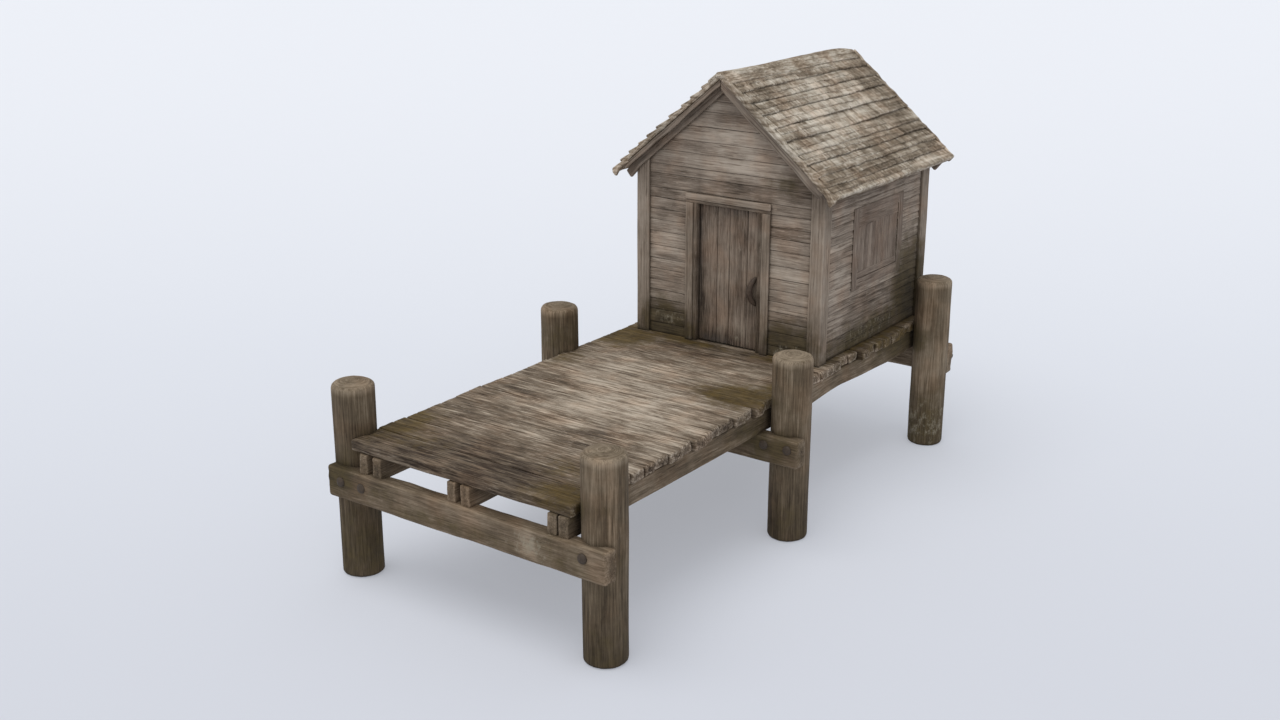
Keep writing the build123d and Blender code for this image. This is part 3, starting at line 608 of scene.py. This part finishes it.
def dome(P, c, n, R=0.056, h=0.032, sink=0.012):
    """A bolt head: a low dome on a short collar, with its axis along n."""
    n = np.asarray(n, float)
    t = np.cross(n, Z)
    t = t / np.linalg.norm(t)
    b = np.cross(n, t)
    K = 28
    ang = np.linspace(0, 2 * math.pi, K, endpoint=False)
    prof = [(R * 0.97, -sink), (R, 0.002)] + [(R * math.cos(math.radians(w)), 0.004 + (h - 0.004) * math.sin(math.radians(w))) for w in (10, 24, 38, 52, 66, 80)]
    rings = []
    for rr, hh in prof:
        lump = 1 + 0.03 * vn(np.stack([np.cos(ang) * 1.3, np.sin(ang) * 1.3, 0 * ang + hh * 40], -1) + np.array(c) * 9)
        rings.append(np.array(c) + hh * n + (rr * lump)[:, None] * (np.cos(ang)[:, None] * t + np.sin(ang)[:, None] * b))
    V_ = np.concatenate(rings + [np.array(c)[None] - sink * n, np.array(c)[None] + h * n])
    ns = len(prof)
    idx = np.arange(ns * K).reshape(ns, K)
    quads = np.stack([idx[:-1], np.roll(idx[:-1], -1, 1), np.roll(idx[1:], -1, 1), idx[1:]], -1).reshape(-1, 4)
    c0, c1 = ns * K, ns * K + 1
    tris = np.concatenate([np.stack([np.full(K, c0), np.roll(idx[0], -1), idx[0]], -1), np.stack([np.full(K, c1), idx[-1], np.roll(idx[-1], -1)], -1)])
    if np.dot(np.cross(t, b), n) < 0:
        quads, tris = quads[:, ::-1], tris[:, ::-1]
    P.add(V_, quads, tris, V_ * 1.0, 0.0, 0.0)


def splits(a, b, lo, hi, fixed=()):
    """Board edges from a to b, each board lo to hi wide, with an edge at every fixed value."""
    out = [a]
    for stop in sorted([f for f in fixed if a < f < b]) + [b]:
        span = stop - out[-1]
        n = max(1, int(round(span / (0.5 * (lo + hi)))))
        w = rng.uniform(lo, hi, n)
        w = w / w.sum() * span
        for x in w[:-1]:
            out.append(out[-1] + x)
        out.append(stop)
    return out


# ------------------------------------------------------------------ piles, beams, stringers
PILES = {"front_left": (-1.7, 0.0, 2.262), "front_right": (1.7, 0.0, 2.262), "middle_left": (-1.7, 3.565, 2.262), "middle_right": (1.7, 3.565, 2.262), "back_left": (-1.7, 7.275, 2.334), "back_right": (1.7, 7.275, 2.334)}
for nm, (x, y, h) in PILES.items():
    P = Piece("log_pile_" + nm)
    log(P, x, y, h)
    P.done("logs", ["pile_" + nm])

BEAMS = {"front": (-1.850, 1.950, -0.315, -0.135, 0.995, 1.345), "middle": (-1.980, 1.980, 3.250, 3.430, 0.990, 1.320), "back": (-1.895, 1.895, 7.410, 7.590, 0.962, 1.358)}
for nm, (x0, x1, y0, y1, z0, z1) in BEAMS.items():
    P = Piece("beam_" + nm)
    timber(P, X, Y, Z, (x0, x1), (y0, y1), (z0, z1), r=0.026, seg=0.02, segv=0.02, st=0.045, amp=0.0055, gr=0.0022, er=0.034, end=(0.012, 0.012), warp=0.003)
    P.done("framing", ["cross_beam_" + nm])

P = Piece("beam_bolt_heads")
for x, z in ((-1.640, 1.190), (-1.330, 1.190), (1.665, 1.220)):
    dome(P, (x, -0.315, z), (0, -1, 0))
for s in (-1, 1):
    for x, z in ((1.53, 1.205), (1.84, 1.205)):
        dome(P, (s * x, 3.250, z), (0, -1, 0))
        dome(P, (s * x, 7.590, z - 0.03), (0, 1, 0))
P.done("iron", [])

STR = {"left": ((-1.385, -1.270), (-1.190, -1.070)), "centre": ((-0.125, -0.010), (0.060, 0.185)), "right": ((1.195, 1.310), (1.332, 1.455))}


def arch(x0):
    ys = np.array([-0.3, 0.7, 1.65, 2.52, 3.5, 4.5, 4.8, 5.2, 5.6, 6.0, 6.5, 7.7])
    zs = np.array([0.0, 0.0, -0.004, -0.014, -0.012, -0.010, 0.014, 0.030, 0.008, -0.012, -0.026, -0.010])

    def f(a, u, v):
        low = np.clip((1.565 - v) / 0.245, 0, 1)
        return 0, 0, low * np.interp(a, ys, zs)
    return f


for nm, pair in STR.items():
    P = Piece("stringer_pair_" + nm)
    for i, (x0, x1) in enumerate(pair):
        timber(P, Y, X, Z, (-0.268, 7.698), (x0, x1), (1.322, 1.566), r=0.014, seg=0.04, segv=0.045, st=0.09, amp=0.004, gr=0.0016, er=0.014, end=(0.008, 0.006), shift=arch(x0) if nm == "right" and i == 1 else None, tint=rng.uniform(-0.06, 0.06))
    P.done("framing", ["stringers_" + nm])


# ------------------------------------------------------------------ deck
def deck(P, y0, y1, step, rough, wide=(0.10, 0.26)):
    main = [y0]
    n = int(round((y1 - y0) / step))
    for i in range(1, n):
        main.append(y0 + (y1 - y0) * i / n + rng.uniform(-0.025, 0.025))
    main.append(y1)
    for i in range(n):
        a, b = main[i], main[i + 1]
        plank_tint = rng.uniform(-0.05, 0.05)
        plank_l = rng.uniform(-0.016, 0.016)
        plank_r = rng.uniform(-0.055, 0.0)
        sub = splits(a, b, *wide)
        zt = rng.uniform(-0.0045, 0.0)
        for j in range(len(sub) - 1):
            g0 = 0.0006 if j else 0.0040
            g1 = 0.0006 if j < len(sub) - 2 else 0.0040
            xr = 1.528 + plank_r + rng.uniform(-0.034, 0.014) * rough
            xl = -1.540 + plank_l + rng.uniform(-0.006, 0.006)
            z1 = 1.690 + zt + rng.uniform(-0.002, 0.0)
            s0 = 0.9 if j == 0 else rng.choice([0.15, 0.5])
            s1 = 0.9 if j == len(sub) - 2 else rng.choice([0.15, 0.5])
            timber(P, X, Y, Z, (xl, xr), (sub[j] + g0, sub[j + 1] - g1), (1.566, z1), r=0.010 if 0 < j < len(sub) - 2 else 0.017, seg=0.025, segv=0.04, st=0.058, amp=0.0028, gr=0.0022, er=0.026, end=(0.006, 0.016), endf=11, tint=plank_tint + rng.uniform(-0.07, 0.06), warp=0.0006, seam_shade=(s0 * 0.8, s1 * 0.8, 0, 0), seam_w=0.008)


P = Piece("deck_boards_front")
deck(P, -0.248, 4.783, 0.42, 1.0, (0.13, 0.29))
P.done("deck", ["deck_front"])
P = Piece("hut_floor_boards")
deck(P, 4.787, 7.728, 0.42, 1.5, (0.17, 0.32))
P.done("deck", ["hut_floor"])

# ------------------------------------------------------------------ roof geometry shared by walls and rafters
APEX, K, CO, SI = 5.213, 0.834, 0.768, 0.6405


def under(x, d=0.085):
    return APEX - K * np.abs(x) - d / CO


# ------------------------------------------------------------------ corner posts
for fb, y0, y1 in (("front", 4.785, 4.970), ("back", 7.455, 7.640)):
    for lr, s in (("left", -1), ("right", 1)):
        P = Piece("corner_post_boards_" + fb + "_" + lr)
        x0, x1 = (1.185, 1.370) if s > 0 else (-1.370, -1.185)

        def top(a, u, v, s=s):
            w = np.clip((a - 3.2) / 0.7, 0, 1)
            return -w * K * (np.abs(u) - 1.185), 0, 0

        fs = "v-" if fb == "front" else "v+"
        os_ = "u+" if s > 0 else "u-"
        gx = [x0 + 0.185 * t for t in (0.16, 0.36, 0.60, 0.82)]
        gy = [y0 + 0.185 * t for t in (0.22, 0.5, 0.78)]
        gv = [(fs, g, 0.0045 + 0.002 * (i % 2), 0.0065 if i != 1 else 0.004) for i, g in enumerate(gx)] + [(os_, g, 0.005, 0.0065) for g in gy]
        timber(P, Z, X, Y, (1.689, 4.118), (x0, x1), (y0, y1), r=0.012, seg=0.0062, segv=0.0062, st=0.07, amp=0.0022, gr=0.0016, er=0.006, grooves=gv, shift=top, warp=0.0015, tint=0.04)
        P.done("trim", [f"corner_post_{fb}_{lr}"])


# ------------------------------------------------------------------ walls
def wall_board(P, axis, out, a, z, face, back, lap, tint, shift=None, dk=0.9, **kw):
    """A horizontal wall board. axis X or Y; out is +1 or -1 along the other one; face and back are that axis's values."""
    other = Y if axis is X else X
    v0, v1 = sorted((face, back))
    h = z[1] - z[0]

    def sh(a_, u_, v_):
        t = np.clip((u_ - z[0]) / h, 0, 1)
        near = np.clip(1 - np.abs(v_ - face) / 0.06, 0, 1)
        dv = -out * lap * t * near
        da = 0
        if shift is not None:
            da = shift(a_, u_, v_)
        return da, 0, dv

    timber(P, axis, Z, other, a, (z[0] + 0.001, z[1] - 0.001), (v0, v1), r=0.007, seg=0.024, segv=0.09, st=0.062, cn=2, cap=False, amp=0.0022, gr=0.0021, er=0.005, tint=tint, shift=sh, wave=0.22, seam_shade=(rng.uniform(0.05, 0.6) * dk, rng.uniform(0.1, 1.0) * dk, 0, 0), seam_w=0.015, **kw)


def long_wall(name, side, nodes):
    P = Piece(name)
    s = 1 if side == "right" else -1
    face, back = s * 1.3375, s * 1.2485
    zs = splits(1.690, under(1.338) + 0.012, 0.088, 0.135, fixed=(2.580, 3.370))
    for i in range(len(zs) - 1):
        z = (zs[i], zs[i + 1])
        mid = 0.5 * (z[0] + z[1])
        t = rng.uniform(-0.10, 0.10)
        spans = [(4.972, 7.453)] if not 2.58 < mid < 3.37 else [(4.972, 5.730), (6.820, 7.453)]
        if len(spans) == 1 and rng.random() < 0.6:
            c = rng.uniform(5.5, 7.0)
            spans = [(4.972, c - 0.001), (c + 0.001, 7.453)]
        for sp in spans:
            wall_board(P, Y, s, sp, z, face, back, rng.uniform(0.007, 0.0115), t + rng.uniform(-0.08, 0.08), warp=0.0009, dk=1.35)
    P.done("walls", nodes)


long_wall("right_wall_boards", "right", ["right_wall_over_window", "right_wall_under_window", "right_wall_beside_window"])
long_wall("left_wall_boards", "left", ["left_wall_over_window", "left_wall_under_window", "left_wall_beside_window"])


def end_wall(name, face, back, out, nodes, door):
    P = Piece(name)
    zs = splits(1.690, 5.050, 0.115, 0.185, fixed=(3.490,) if door else ())
    for i in range(len(zs) - 1):
        z = (zs[i], zs[i + 1])
        mid = 0.5 * (z[0] + z[1])
        t = rng.uniform(-0.08, 0.08)
        if z[0] < 3.95:
            lim = 1.184
            spans = [(-lim, -0.502), (0.502, lim)] if door and mid < 3.49 else [(-lim, lim)]
            # over the posts the boards end at the post; above them they follow the roof
            sh = None
            if z[1] > 3.95:
                sh = lambda a_, u_, v_: np.sign(a_) * np.clip(np.abs(a_) - 0.9, 0, None) / 0.284 * np.minimum(0, (APEX - 0.085 / CO + 0.018 - u_) / K - 1.184)
        else:
            hz = 0.5 * (z[0] + z[1])
            L = (APEX - 0.085 / CO + 0.018 - hz) / K
            if L < 0.03:
                continue
            spans = [(-L, L)]
            sh = lambda a_, u_, v_, L=L: a_ / L * ((APEX - 0.085 / CO + 0.018 - u_) / K - L)
        if len(spans) == 1 and rng.random() < 0.35 and spans[0][1] > 0.7:
            c = rng.uniform(-0.6, 0.6)
            spans = [(spans[0][0], c - 0.001), (c + 0.001, spans[0][1])]
        for sp in spans:
            wall_board(P, X, out, sp, z, face, back, rng.uniform(0.004, 0.0105), t + rng.uniform(-0.06, 0.06), shift=sh, warp=0.0010)
    P.done("walls", nodes)


end_wall("front_wall_boards", 4.8175, 4.9065, -1, ["front_wall_left", "front_wall_right", "front_gable"], True)
end_wall("back_wall_boards", 7.6075, 7.5185, 1, ["back_wall"], False)

# ------------------------------------------------------------------ windows
for side, s in (("left", -1), ("right", 1)):
    lo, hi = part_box(side + "_window_surround")
    x0, x1 = sorted((lo[0], hi[0]))
    if s > 0:
        x1 -= 0.020
    else:
        x0 += 0.020
    P = Piece(side + "_window_frame_boards")
    for (ya, yb, za, zb, vert) in ((5.600, 5.729, 2.450, 3.500, 1), (6.821, 6.950, 2.450, 3.500, 1), (5.731, 6.819, 3.372, 3.500, 0), (5.731, 6.819, 2.450, 2.578, 0)):
        if vert:
            timber(P, Z, Y, X, (za, zb), (ya, yb), (x0, x1), r=0.005, seg=0.018, segv=0.03, st=0.06, amp=0.0018, gr=0.0016, er=0.006, tint=rng.uniform(-0.06, 0.10), grooves=[("v" + ("+" if s > 0 else "-"), ya + 0.035, 0.004, 0.004)])
        else:
            timber(P, Y, Z, X, (ya, yb), (za, zb), (x0, x1), r=0.005, seg=0.018, segv=0.03, st=0.06, amp=0.0018, gr=0.0016, er=0.006, tint=rng.uniform(-0.06, 0.08))
    P.done("shutter", [side + "_window_surround"])
    lo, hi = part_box(side + "_window_shutter")
    x0, x1 = sorted((lo[0], hi[0]))
    ya, yb, za, zb = lo[1] + Y0, hi[1] + Y0, lo[2], hi[2]
    x0, x1 = x0 + s * 0.010, x1 + s * 0.010      # the drawn leaf sits a little further out than the solid
    f0, f1 = (x1 - 0.018, x1) if s > 0 else (x0, x0 + 0.018)
    b0, b1 = (x0, x1 - 0.005) if s > 0 else (x0 + 0.005, x1)
    P = Piece(side + "_shutter_boards")
    ys = splits(ya, yb, 0.065, 0.125)
    for i in range(len(ys) - 1):
        timber(P, Z, Y, X, (za + 0.002, zb - 0.002), (ys[i] + 0.002, ys[i + 1] - 0.002), (b0, b1), r=0.006, seg=0.018, segv=0.03, st=0.07, cn=2, cap=False, amp=0.0016, gr=0.0018, er=0.006, tint=rng.uniform(-0.10, 0.12))
    for (p, q_, r0, r1) in ((ya, yb, 3.240, zb), (ya, yb, za, 2.665)):
        timber(P, Y, Z, X, (p, q_), (r0, r1), (f0, f1), r=0.006, seg=0.012, segv=0.01, st=0.05, amp=0.0016, gr=0.0014, er=0.006, tint=rng.uniform(0.02, 0.10))
    timber(P, Z, Y, X, (2.667, 3.238), (ya, ya + 0.085), (f0, f1), r=0.006, seg=0.012, segv=0.01, st=0.05, amp=0.0016, gr=0.0014, er=0.005, tint=0.05)
    P.done("shutter", [side + "_window_shutter"])

# ------------------------------------------------------------------ door frame
for lr, s in (("left", -1), ("right", 1)):
    P = Piece("door_casing_" + lr)
    o0, o1 = sorted((s * 0.506, s * 0.620))
    timber(P, Z, X, Y, (1.690, 3.488), (o0, o1), (4.784, 4.817), r=0.014, seg=0.008, segv=0.012, st=0.06, amp=0.0024, gr=0.0018, er=0.006, grooves=[("v-", s * 0.590, 0.007, 0.006)], tint=-0.02, seam_shade=(0.8, 0.8, 0, 0), seam_w=0.007)
    # the stepped inner strip and the lining of the opening are tinted darker: painted shade in the door reveal
    i0, i1 = sorted((s * 0.445, s * 0.505))
    timber(P, Z, X, Y, (1.690, 3.488), (i0, i1), (4.801, 4.817), r=0.006, seg=0.008, segv=0.012, st=0.06, amp=0.0014, gr=0.0012, er=0.006, tint=-0.26, seam_shade=(0.5, 0.5, 0, 0), seam_w=0.012)
    l0, l1 = sorted((s * 0.445, s * 0.500))
    timber(P, Z, X, Y, (1.690, 3.488), (l0, l1), (4.818, 4.962), r=0.006, seg=0.015, segv=0.02, st=0.08, amp=0.0010, gr=0.0010, er=0.004, tint=-0.10)
    P.done("trim", ["door_jamb_" + lr])
P = Piece("door_casing_head")
timber(P, X, Z, Y, (-0.622, 0.622), (3.528, 3.612), (4.782, 4.817), r=0.016, seg=0.010, segv=0.010, st=0.05, amp=0.0028, gr=0.0016, er=0.016, tint=0.10, warp=0.0012, seam_shade=(0.9, 0.2, 0, 0), seam_w=0.010)
# the strip under the head and the head lining are tinted darker: painted shade under the head and in the reveal
timber(P, X, Z, Y, (-0.618, 0.618), (3.489, 3.527), (4.798, 4.817), r=0.006, seg=0.010, segv=0.010, st=0.05, amp=0.0018, gr=0.0012, er=0.008, tint=-0.16, seam_shade=(0.3, 0.7, 0, 0), seam_w=0.012)
timber(P, X, Z, Y, (-0.500, 0.500), (3.490, 3.545), (4.818, 4.962), r=0.006, seg=0.015, segv=0.02, st=0.08, amp=0.0010, gr=0.0010, er=0.004, tint=-0.1)
P.done("trim", ["door_head"])

# ------------------------------------------------------------------ door
P = Piece("door_planks")
for (x0, x1, t) in ((-0.436, -0.175, 0.0), (-0.173, 0.005, 0.06), (0.007, 0.267, -0.02), (0.269, 0.434, 0.03)):
    gv = [("v-", x0 + (x1 - x0) * f, 0.004, 0.0035) for f in (0.3, 0.62)]
    timber(P, Z, X, Y, (1.704, 3.479), (x0 + 0.0018, x1 - 0.0018), (4.857, 4.892), r=0.006, seg=0.009, segv=0.012, st=0.05, amp=0.0017, gr=0.0018, er=0.006, tint=t, grooves=gv, seam_shade=(0.9, 0.9, 0, 0), seam_w=0.008)
for z in (1.960, 2.590, 3.220):
    timber(P, X, Z, Y, (-0.418, 0.416), (z - 0.064, z + 0.064), (4.893, 4.917), r=0.006, seg=0.02, segv=0.01, st=0.06, amp=0.0010, gr=0.0010, er=0.006, tint=rng.uniform(-0.05, 0.05))
P.done("door", ["door_leaf"], "door")

# ------------------------------------------------------------------ rafters, barge boards, roof
SLOPES = {"left": (np.array([-CO, 0, -SI]), np.array([-SI, 0, CO]), -1), "right": (np.array([CO, 0, -SI]), np.array([SI, 0, CO]), 1)}
TOP = (0, 0, APEX)


def mitre(a_, u_, v_):
    w = np.clip(1 - a_ / 0.5, 0, 1)
    return w * K * (-v_), 0, 0


def tail(a_, u_, v_):
    """Mitred at the top; the tail hangs a little below the eave."""
    da, _, _ = mitre(a_, u_, v_)
    return da, 0, -0.034 * np.clip((a_ - 1.84) / 0.16, 0, 1) ** 1.5


P = Piece("rafter_timbers")
for side, (A_, N_, s) in SLOPES.items():
    for y, x_out in ((5.300, 1.240), (5.900, 1.575), (6.495, 1.575), (7.080, 1.240)):
        # the rafters are tinted lighter so their tails under the eave stand out of its shade: painted light
        timber(P, A_, Y, N_, (0.004, (x_out + (0.022 if x_out > 1.3 else 0)) / CO), (y - 0.040, y + 0.040), (-0.184, -0.087), O=TOP, r=0.022, seg=0.015, st=0.06, amp=0.003, gr=0.0012, er=0.032, shift=tail, tint=0.10)
    for y0, y1, x_out, dep in ((4.741, 4.784, 1.560, 0.200), (7.641, 7.684, 1.580, 0.240)):
        # the gable rafters are tinted darker, as the strip behind the barge boards that lies in shadow: painted shade
        timber(P, A_, Y, N_, (0.004, (x_out + 0.030) / CO), (y0 - 0.002, y1 + 0.002), (-dep, -0.087), O=TOP, r=0.014, seg=0.02, st=0.08, amp=0.003, gr=0.0014, er=0.030, shift=tail, tint=-0.10)
P.done("roof_timber", ["rafters"])

for side, (A_, N_, s) in SLOPES.items():
    P = Piece("barge_" + side)
    dep = 0.150 if s < 0 else 0.190
    for y0, y1 in ((4.586, 4.630), (7.770, 7.814)):
        def wavy(a_, u_, v_, dep=dep, ph=y0 * 7 + s):
            da, _, _ = mitre(a_, u_, v_)
            low = np.clip((-v_ - 0.10) / (dep - 0.10), 0, 1)
            return da, 0, low * 0.007 * np.sin(a_ * 5.1 + ph) + low * 0.004 * np.sin(a_ * 11.3 + ph * 2)
        timber(P, A_, Y, N_, (0.004, 1.505 / CO), (y0, y1), (-dep, -0.085), O=TOP, r=0.014, seg=0.012, segv=0.012, st=0.05, amp=0.0035, gr=0.0018, er=0.030, shift=wavy, tint=0.06, seam_shade=(0, 0, 0.7, 0.9), seam_w=0.014, grooves=[(f, g, 0.006, 0.009) for f in ("u-", "u+") for g in ((-0.124, -0.162) if s > 0 else (-0.117,))])
    P.done("roof_timber", ["barge_boards_" + side])

TIPS = [0.290, 0.438, 0.587, 0.751, 0.925, 1.082, 1.219, 1.359, 1.490, 1.633]
for side, (A_, N_, s) in SLOPES.items():
    P = Piece("shingle_courses_" + side)
    H = Piece("shingle_half_courses_" + side)

    def lip(W, s=s):
        """The eave corner at the front droops."""
        wy = np.clip((4.80 - W[..., 1]) / 0.24, 0, 1) ** 2
        wx = np.clip((np.abs(W[..., 0]) - 1.36) / 0.28, 0, 1) ** 1.5
        sag = 0.006 * np.sin(W[..., 1] * 2.1 + 1.0) * np.clip((np.abs(W[..., 0]) - 0.2) / 0.6, 0, 1)
        back = np.clip((W[..., 1] - 7.45) / 0.4, 0, 1) ** 2 * np.clip(1 - np.abs(W[..., 0]) / 0.5, 0, 1) * 0.035
        W = W.copy()
        W[..., 2] -= 0.040 * wy * wx + sag + 0.006 + back
        return W

    # boarding under the shingles
    us = splits(0.03, 1.628 / CO, 0.15, 0.20)
    for i in range(len(us) - 1):
        timber(P, Y, A_, N_, (4.566, 7.834), (us[i] + 0.001, us[i + 1] - 0.001), (-0.084, -0.052), O=TOP, r=0.006, seg=0.04, segv=0.012, st=0.16, amp=0.0018, gr=0.0, er=0.008, tint=rng.uniform(-0.15, 0.0), after=lip, end=(0.004, 0.004))
    prev = 0.12
    for ci, tx in enumerate(TIPS):
        s1 = tx / CO
        pitch = s1 - (TIPS[ci - 1] / CO if ci else 0.18)
        wph = rng.uniform(0, 100)
        ys = splits(4.562, 7.838, 0.055, 0.16)
        course_t = rng.uniform(-0.05, 0.05)
        last = ci == len(TIPS) - 1
        for j in range(len(ys) - 1):
            yc = 0.5 * (ys[j] + ys[j + 1])
            wob = 0.016 * float(vn(np.array([[yc * 1.3, wph, 0.0]]))[0]) + 0.010 * float(vn(np.array([[yc * 4.1, wph, 5.0]]))[0])
            tip = s1 + (wob if not last else 0.5 * wob - 0.006) + rng.uniform(-0.004, 0.004)
            Ls = pitch + 0.085
            rise = 0.033 / max(pitch, 0.1)
            edge_s = 1 if (j == 0 or j == len(ys) - 2) else 0

            def wedge(a_, u_, v_, tip=tip, rise=rise):
                return 0, 0, -np.clip((tip - a_) * rise, 0, 0.052)
            th = (0.060 if last else 0.036) + rng.uniform(-0.002, 0.002)
            lift = rng.uniform(-0.0025, 0.001)
            timber(P, A_, Y, N_, (tip - Ls, tip), (ys[j] + 0.0004, ys[j + 1] - 0.0004), (-th + lift, lift), O=TOP, r=0.008 if not edge_s else 0.016, seg=0.024, segv=0.03, st=0.07, cn=2, cap=False, amp=0.0022, gr=0.0034, er=0.018 if not last else 0.026, tint=course_t + rng.uniform(-0.10, 0.10) - (0.0 if not last else -0.06), shift=wedge, after=lip, end=(0, 0.005), endf=45, seam_shade=(rng.uniform(0, 0.30), rng.uniform(0, 0.30), 0, 0), seam_w=0.006)
            # a broken half course lies between two full ones
            if float(vn(np.array([[yc * 0.8, wph + 31, 2.0]]))[0]) > -0.30 and not edge_s:
                t2 = tip - pitch * (0.46 + 0.05 * float(vn(np.array([[yc * 2.1, wph, 9.0]]))[0])) + rng.uniform(-0.004, 0.004)

                def wedge2(a_, u_, v_, tip=tip, rise=rise, t2=t2):
                    return 0, 0, -np.clip((tip - a_) * rise, 0, 0.052)
                timber(H, A_, Y, N_, (t2 - 0.11, t2), (ys[j] + 0.0004, ys[j + 1] - 0.0004), (-0.010, 0.0085 + rng.uniform(-0.001, 0.001)), O=TOP, r=0.005, seg=0.024, segv=0.02, st=0.05, cn=2, cap=False, amp=0.0014, gr=0.0022, er=0.008, tint=course_t + rng.uniform(-0.10, 0.10), shift=wedge2, after=lip, end=(0, 0.005), endf=45)
    P.done("shingle", ["roof_" + side])
    H.done("shingle", [])

P = Piece("verge_strips")
for side, (A_, N_, s) in SLOPES.items():
    for y0, y1 in ((4.560, 4.606), (7.794, 7.840)):
        def lumpy(a_, u_, v_, ph=y0 * 3 + s):
            low = np.clip((-0.03 - v_) / 0.05, 0, 1) * np.clip((a_ - 1.95) / 0.15, 0, 1) ** 1.3
            return 0, 0, 0.005 * np.sin(a_ * 16.0 + ph) + 0.003 * np.sin(a_ * 37.0 + ph) - 0.040 * low

        def corner(W):
            W = W.copy()
            wx = np.clip((np.abs(W[..., 0]) - 1.36) / 0.28, 0, 1) ** 1.5
            W[..., 2] -= 0.046 * wx * (1.0 if W[..., 1].mean() < 6 else 0.15) + 0.006
            return W
        hi = -0.004 if s > 0 else -0.026
        timber(P, A_, Y, N_, (0.100, 1.626 / CO), (y0, y1), (-0.080, hi), O=TOP, r=0.019, seg=0.010, segv=0.012, st=0.03, amp=0.0040, gr=0.0018, er=0.024, shift=lumpy, after=corner, tint=0.05, pol=1.0, seam_shade=(0, 0, 0.9, 0), seam_w=0.016)
P.done("shingle", [])

P = Piece("ridge_boards")


def ridge_back(W):
    W = W.copy()
    W[..., 2] -= np.clip((W[..., 1] - 7.45) / 0.4, 0, 1) ** 2 * 0.035
    W[..., 2] += 0.004 * np.sin(W[..., 1] * 3.0)
    return W


for side, (A_, N_, s) in SLOPES.items():
    timber(P, Y, A_, N_, (4.556, 7.844), (0.050, 0.232), (-0.052, -0.008), O=TOP, r=0.013, seg=0.015, segv=0.012, st=0.06, amp=0.0035, gr=0.0022, er=0.020, tint=0.04, after=ridge_back, end=(0.01, 0.01), warp=0.003)
timber(P, Y, X, Z, (4.556, 7.844), (-0.060, 0.060), (5.098, 5.158), r=0.026, seg=0.014, segv=0.012, st=0.06, amp=0.0035, gr=0.0018, er=0.026, tint=0.03, after=ridge_back, warp=0.002)
P.done("shingle", ["ridge_cap"])

# ------------------------------------------------------------------ the CAD pieces that stay
for n in ("door_pull", "door_hinge_straps", "door_hinge_pintles"):
    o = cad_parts[n]
    o.data.materials.clear()
    o.data.materials.append(M["pull" if n == "door_pull" else "iron"])

# ------------------------------------------------------------------ floor
me = bpy.data.meshes.new("studio_floor")
R_ = 160.0
me.from_pydata([(-R_, -R_, 0), (R_, -R_, 0), (R_, R_, 0), (-R_, R_, 0)], [], [(0, 1, 2, 3)])
fl = bpy.data.objects.new("studio_floor", me)
S.collection.objects.link(fl)
m, nt, bs = nodes_of("floor_colour_and_glow")
pos = nt.nodes.new("ShaderNodeTexCoord").outputs["Object"]
sep = nt.nodes.new("ShaderNodeSeparateXYZ")
link(nt, pos, sep.inputs[0])
# distance along the floor in the direction that the camera looks, from below it
hx, hy = -math.sin(az), math.cos(az)
d = math_(nt, "ADD", math_(nt, "MULTIPLY", math_(nt, "SUBTRACT", sep.outputs[0], 9.6761), hx), math_(nt, "MULTIPLY", math_(nt, "SUBTRACT", sep.outputs[1], -10.5032 - Y0), hy))
q_ = math_(nt, "DIVIDE", 7.5944, math_(nt, "MAXIMUM", d, 1.0))
t = remap(nt, q_, 0.05, 0.65)
t = math_(nt, "ADD", math_(nt, "MULTIPLY", math_(nt, "SUBTRACT", noise(nt, pos, 0.8, 3, 0.5), 0.5), 0.02), t, clamp=True)
col = ramp(nt, t, [(0.0, (0.815, 0.835, 0.885)), (0.45, (0.72, 0.745, 0.805)), (1.0, (0.645, 0.665, 0.725))])
link(nt, mix(nt, 1.0, col, (0.60, 0.60, 0.60), "MULTIPLY"), bs.inputs["Base Color"])
# The floor also glows with its own colour, lighter far from the camera and darker near it; the glow lifts the cast
# shadow under the dock: painted light.
link(nt, col, bs.inputs["Emission Color"])
bs.inputs["Emission Strength"].default_value = 0.42
bs.inputs["Roughness"].default_value = 0.95
bs.inputs["Specular IOR Level"].default_value = 0.05
me.materials.append(m)

print("TRIS", sum(n for _, n in ALL), sorted(ALL, key=lambda a: -a[1])[:6])
